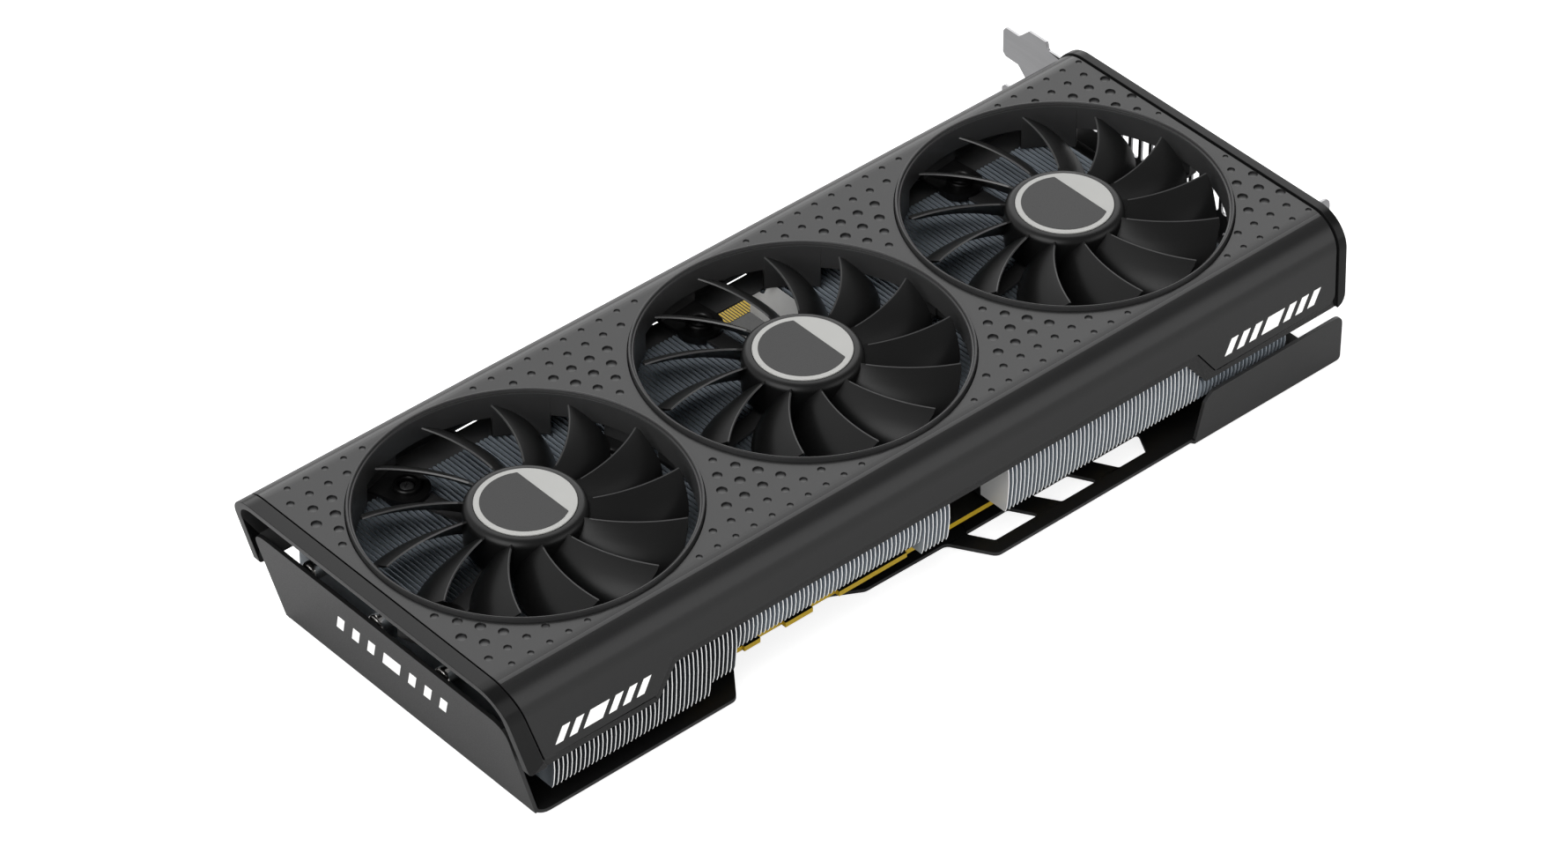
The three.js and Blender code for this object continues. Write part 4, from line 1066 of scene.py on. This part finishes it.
def socket_tongue(y0, y1):
    """the bar inside a socket, with fine grooves 1 mm apart along its top"""
    grooves = [box(146, 150.4, y0 + 3.6 + i, y0 + 3.95 + i, MOUNT_Z + 3.7, MOUNT_Z + 4.2)
               for i in range(int(y1 - y0 - 7))]
    bar = box(136.5, 150, y0 + 3, y1 - 3, MOUNT_Z + 2.8, MOUNT_Z + 3.9)
    return combine(bar, ("-", join(grooves)))


def socket_paint(spot, normal):
    # tops and back faces of the socket shells get painted shade instead of bright steel
    dark = (normal.z > 0.5 or normal.x < -0.3) and spot.x < 149
    return "socket_top_dark" if dark else "socket_steel"


piece("bracket_sheet", build_bracket(), ["bracket_steel", "bracket_inner_steel"],
      "io_bracket", bevel=0.14, paint=bracket_paint)
for i, (y0, y1, top, _) in enumerate(SOCKETS, 1):
    piece(f"socket_shell_{i}", socket_shell(y0, y1, top), ["socket_steel", "socket_top_dark"],
          f"video_socket_{i}", bevel=0.12, paint=socket_paint)
    piece(f"socket_tongue_{i}", socket_tongue(y0, y1), ["connector_black"])

# ------------------------------------------------------------------ edge contacts
FINGER_PITCH, FINGER_W, FINGER_T = 1.0, 0.6, 0.1
FINGER_BOTTOMS = (("front", 8.68), ("back", 7.04 - FINGER_T))   # upper and lower board face
FINGER_ROWS = (("short", 91.8, 11), ("long", 14.9, 74))         # name, start x, count


def fingers(start, count, bottom):
    strips = []
    for i in range(count):
        x = start + 0.2 + i * FINGER_PITCH
        outline = round_rect(x, x + FINGER_W, 60.1, 65.2, 0.12, 2)
        strips.append(prism(outline, "z", bottom, bottom + FINGER_T))
    return join(strips)


for side, bottom in FINGER_BOTTOMS:
    for row, start, count in FINGER_ROWS:
        piece(f"fingers_{side}_{row}", fingers(start, count, bottom), ["contact_gold"],
              f"contacts_{side}_{row}", smooth=30, weighted=False)

# ------------------------------------------------------------------ power socket
CELL, CELL_X, CELL_Z, CELL_PITCH_X, CELL_PITCH_Z = 3.5, 6.55, 11.4, 4.25, 4.9
POWER_CELLS = [(i, j, CELL_X + i * CELL_PITCH_X, CELL_Z + j * CELL_PITCH_Z)
               for i in range(4) for j in range(2)]


def power_block():
    cells = []
    for i, j, x, z in POWER_CELLS:
        corner = 0.9 if (i + j) % 2 else 0.15
        cells.append(prism(round_rect(x, x + CELL, z, z + CELL, corner, 3), "y", -38.5, -26.5))
    block = combine(box(5.3, 24.3, -37.5, -21, MOUNT_Z, 22.2), ("-", join(cells)))
    catch = combine(box(11.3, 18.3, -36.5, -33.0, 21.9, 23.4),
                    ("-", box(10, 20, -37.5, -35.7, 22.6, 24)))
    return combine(block, ("+", catch))


def power_pins():
    pins = []
    for _, _, x, z in POWER_CELLS:
        x, z = x + CELL / 2, z + CELL / 2
        pins.append(box(x - 0.55, x + 0.55, -35.0, -26.0, z - 0.55, z + 0.55))
    return join(pins)


piece("power_socket", power_block(), ["connector_black"],
      "power_connector", bevel=0.2)
piece("power_pins", power_pins(), ["contact_gold"], bevel=0.15)

# ------------------------------------------------------------------ spring cross
SPRING_LOW, SPRING_TOP = 4.9, 6.1
SPRING_HOLES = [(GPU_X + x * 19, y * 19) for x in (-1, 1) for y in (-1, 1)]


def spring_cross():
    arm = prism(round_rect(-30, 30, -4.5, 4.5, 4.4, 6), "z", SPRING_LOW, SPRING_TOP)
    cross = combine(turned(arm, 45, GPU_X), ("+", turned(arm, -45, GPU_X)),
                    ("+", cylinder(GPU_X, 0, SPRING_LOW, SPRING_TOP, 11)))
    cuts = [cylinder(x, y, 4, 7, 2.0, 32) for x, y in SPRING_HOLES]
    # a shallow ring groove in the underside
    cuts.append(lathe([(3.5, 4.6), (6.5, 4.6), (6.5, 5.15), (3.5, 5.15)], GPU_X, 0, 48))
    return combine(cross, ("-", join(cuts)))


def spring_screw(x, y):
    """head down, shank up"""
    upside_down = Matrix.Translation((x, y, 4.7)) @ Matrix.Rotation(math.pi, 4, "X")
    head = moved(screw(0, 0, 0, radius=3.2, height=3.0, recess=1.4), upside_down)
    return join([head, cylinder(x, y, 4.5, 10.6, 1.6, 32)])


piece("spring_cross", spring_cross(), ["spring_steel"], "retention_bracket",
      bevel=0.15)
for i, (x, y) in enumerate(SPRING_HOLES, 1):
    piece(f"spring_screw_{i}", spring_screw(x, y), ["screw_black"],
          f"retention_screw_{i}")


# ------------------------------------------------------------------ parts kept as they are
def dress(part, look):
    kept = frame["nodes"][part]
    if not kept.data.materials:
        kept.data.materials.append(None)
    for material_slot in kept.material_slots:
        material_slot.link = "OBJECT"
        material_slot.material = LOOKS[look]


for part, look in (("pcb", "board_mask"), ("front_plate", "plate_black"),
                   ("cold_plate", "copper_base"), ("gpu_package", "package_green"),
                   ("gpu_die", "silicon_grey")):
    dress(part, look)
for i in (1, 2, 3, 4):
    dress(f"memory_chip_{i}", "chip_resin")
for i in (1, 2, 3):
    for part, look in (("choke", "ferrite_grey"), ("rotor_yoke", "yoke_steel"),
                       ("rotor_magnet", "magnet_ferrite"), ("fan_shaft", "shaft_steel"),
                       ("sleeve_bearing", "bearing_bronze"), ("motor_stator", "winding_copper")):
        dress(f"{part}_{i}", look)


# ------------------------------------------------------------------ white marks: slanted bars, white print with a painted glow
def bars(axis, start, end, first, widths, gap, low, high, lean):
    """a row of bars, pushed along axis from start to end"""
    shapes = []
    for width in widths:
        outline = [(first, low), (first + width, low), (first + width + lean, high),
                   (first + lean, high)]
        shapes.append(prism(outline, axis, start, end))
        first += width + gap
    return join(shapes)


for name, first, widths in (("mark_left", -135.2, (2.6, 2.6, 6.4, 2.6, 2.6, 2.6)),
                            ("mark_right", 104.4, (2.6, 2.6, 2.6, 6.4, 2.6, 2.6, 2.6))):
    row = bars("y", -60, -50, first, widths, gap=2.1, low=25.4, high=30.2, lean=2.6)
    piece(name, combine(row, ("&", shell(-0.05, 0.4, -140, 150))), ["mark_white_painted_glow"],
          weighted=False)
row = bars("x", -0.05, 0.3, -22.5, (2.8, 2.8, 2.8, 7.0, 2.8, 2.8, 2.8), gap=3.6, low=18.8,
           high=25.6, lean=-3.2)
piece("mark_end", moved(row, CAP_PLACE), ["mark_white_painted_glow"], weighted=False)

# ------------------------------------------------------------------ floor, light, camera (metres)
FLOOR_HALF, FLOOR_Z = 6.0, -0.0006


def floor():
    shape = bpy.data.meshes.new("floor")
    corners = [(x * FLOOR_HALF, y * FLOOR_HALF, FLOOR_Z)
               for x, y in ((-1, -1), (1, -1), (1, 1), (-1, 1))]
    shape.from_pydata(corners, [], [[0, 1, 2, 3]])
    made = bpy.data.objects.new("floor", shape)
    scene.collection.objects.link(made)
    look, tree, shader = new_tree("floor_pale")
    noise = node(tree, "TexNoise", {"Scale": 3}).outputs["Fac"]
    seen = color_ramp(tree, noise, low=(0.60, 0.60, 0.60), high=(0.64, 0.64, 0.64))
    is_camera = node(tree, "LightPath", {}).outputs["Is Camera Ray"]
    # the glow that the card receives grows with distance behind it
    position = node(tree, "NewGeometry", {}).outputs["Position"]
    behind = node(tree, "VectorMath", {}, operation="DOT_PRODUCT")
    fill(tree, behind, {0: position, 1: (0.6, 0.8, 0.0)})
    away = remap(tree, behind.outputs["Value"], start=0.12, end=0.40, low=0.05, high=0.32)
    seen_glow = 0.82
    glow = node(tree, "Mix", {0: is_camera, 2: away, 3: seen_glow}).outputs[0]
    fill(tree, shader, {
        "Base Color": mix_colors(tree, is_camera, (0.5, 0.5, 0.5, 1), seen),
        "Roughness": 0.9,
        "Specular IOR Level": 0.1,
        "Emission Color": (1, 1, 1, 1),
        "Emission Strength": glow,
    })
    shape.materials.append(look)


# soft lights in the sky: direction, full within and gone beyond these degrees, strength
LOBES = (
    ((0.512, 0.600, 0.600), 24, 36, 1.55),    # behind, above the far side: sheen on the top
    ((0.45, -0.85, 0.22), 14, 36, 1.0),       # low at the near right: line along the edge
    ((0.62, 0.78, 0.02), 10, 34, 0.30),       # far horizon: line along the far edge
    ((-0.80, -0.14, 0.52), 14, 32, 2.55),     # low at the left, on the end cap
    ((-0.5, 0.7, 0.5), 20, 60, 0.4),          # far left
)
AMBIENT = 0.20
WHITE = (1, 1, 1, 1)


def world():
    """plain white to the camera, soft lobes of light to everything else"""
    studio = bpy.data.worlds.new("studio")
    scene.world = studio
    studio.use_nodes = True
    tree = studio.node_tree
    tree.nodes.clear()
    source = node(tree, "TexCoord", {}).outputs["Generated"]
    lobes = []
    for direction, inner, outer, strength in LOBES:
        facing = node(tree, "VectorMath", {}, operation="DOT_PRODUCT")
        fill(tree, facing, {0: source, 1: Vector(direction).normalized()})
        lobes.append(remap(tree, facing.outputs["Value"], math.cos(outer * RAD),
                           math.cos(inner * RAD), 0, strength))
    total = lobes[0]
    for part in lobes[1:] + [AMBIENT]:
        total = calc(tree, "ADD", total, part)
    lit = node(tree, "Background", {"Color": WHITE, "Strength": total}).outputs[0]
    seen = node(tree, "Background", {"Color": WHITE, "Strength": 1.0}).outputs[0]
    is_camera = node(tree, "LightPath", {}).outputs["Is Camera Ray"]
    mixed = node(tree, "MixShader", {0: is_camera, 1: lit, 2: seen}).outputs[0]
    node(tree, "OutputWorld", {0: mixed})


def key_light():
    light = bpy.data.lights.new("key", "AREA")
    light.energy = 6.0
    light.size = 0.7
    made = bpy.data.objects.new("key", light)
    scene.collection.objects.link(made)
    made.visible_glossy = False
    made.location = (-0.35, -0.25, 1.1)
    aim = Vector((0, 0, 0.02)) - made.location
    made.rotation_euler = aim.to_track_quat("-Z", "Y").to_euler()


def camera():
    lens = bpy.data.cameras.new("camera")
    made = bpy.data.objects.new("camera", lens)
    scene.collection.objects.link(made)
    back = Vector((-0.5122, -0.5796, 0.6338)).normalized()
    right = Vector((0.7493, -0.6623, 0.0)).normalized()
    up = back.cross(right).normalized()
    right = up.cross(back).normalized()    # made square to the other two
    turn = Matrix((right, up, back)).transposed()
    made.matrix_world = Matrix.Translation((-0.90229, -1.01341, 1.13518)) @ turn.to_4x4()
    lens.sensor_width = 36.0
    lens.lens = 148.19
    lens.clip_start = 0.05
    lens.clip_end = 50
    scene.camera = made


floor()
world()
key_light()
camera()
scene.view_settings.view_transform = "Standard"
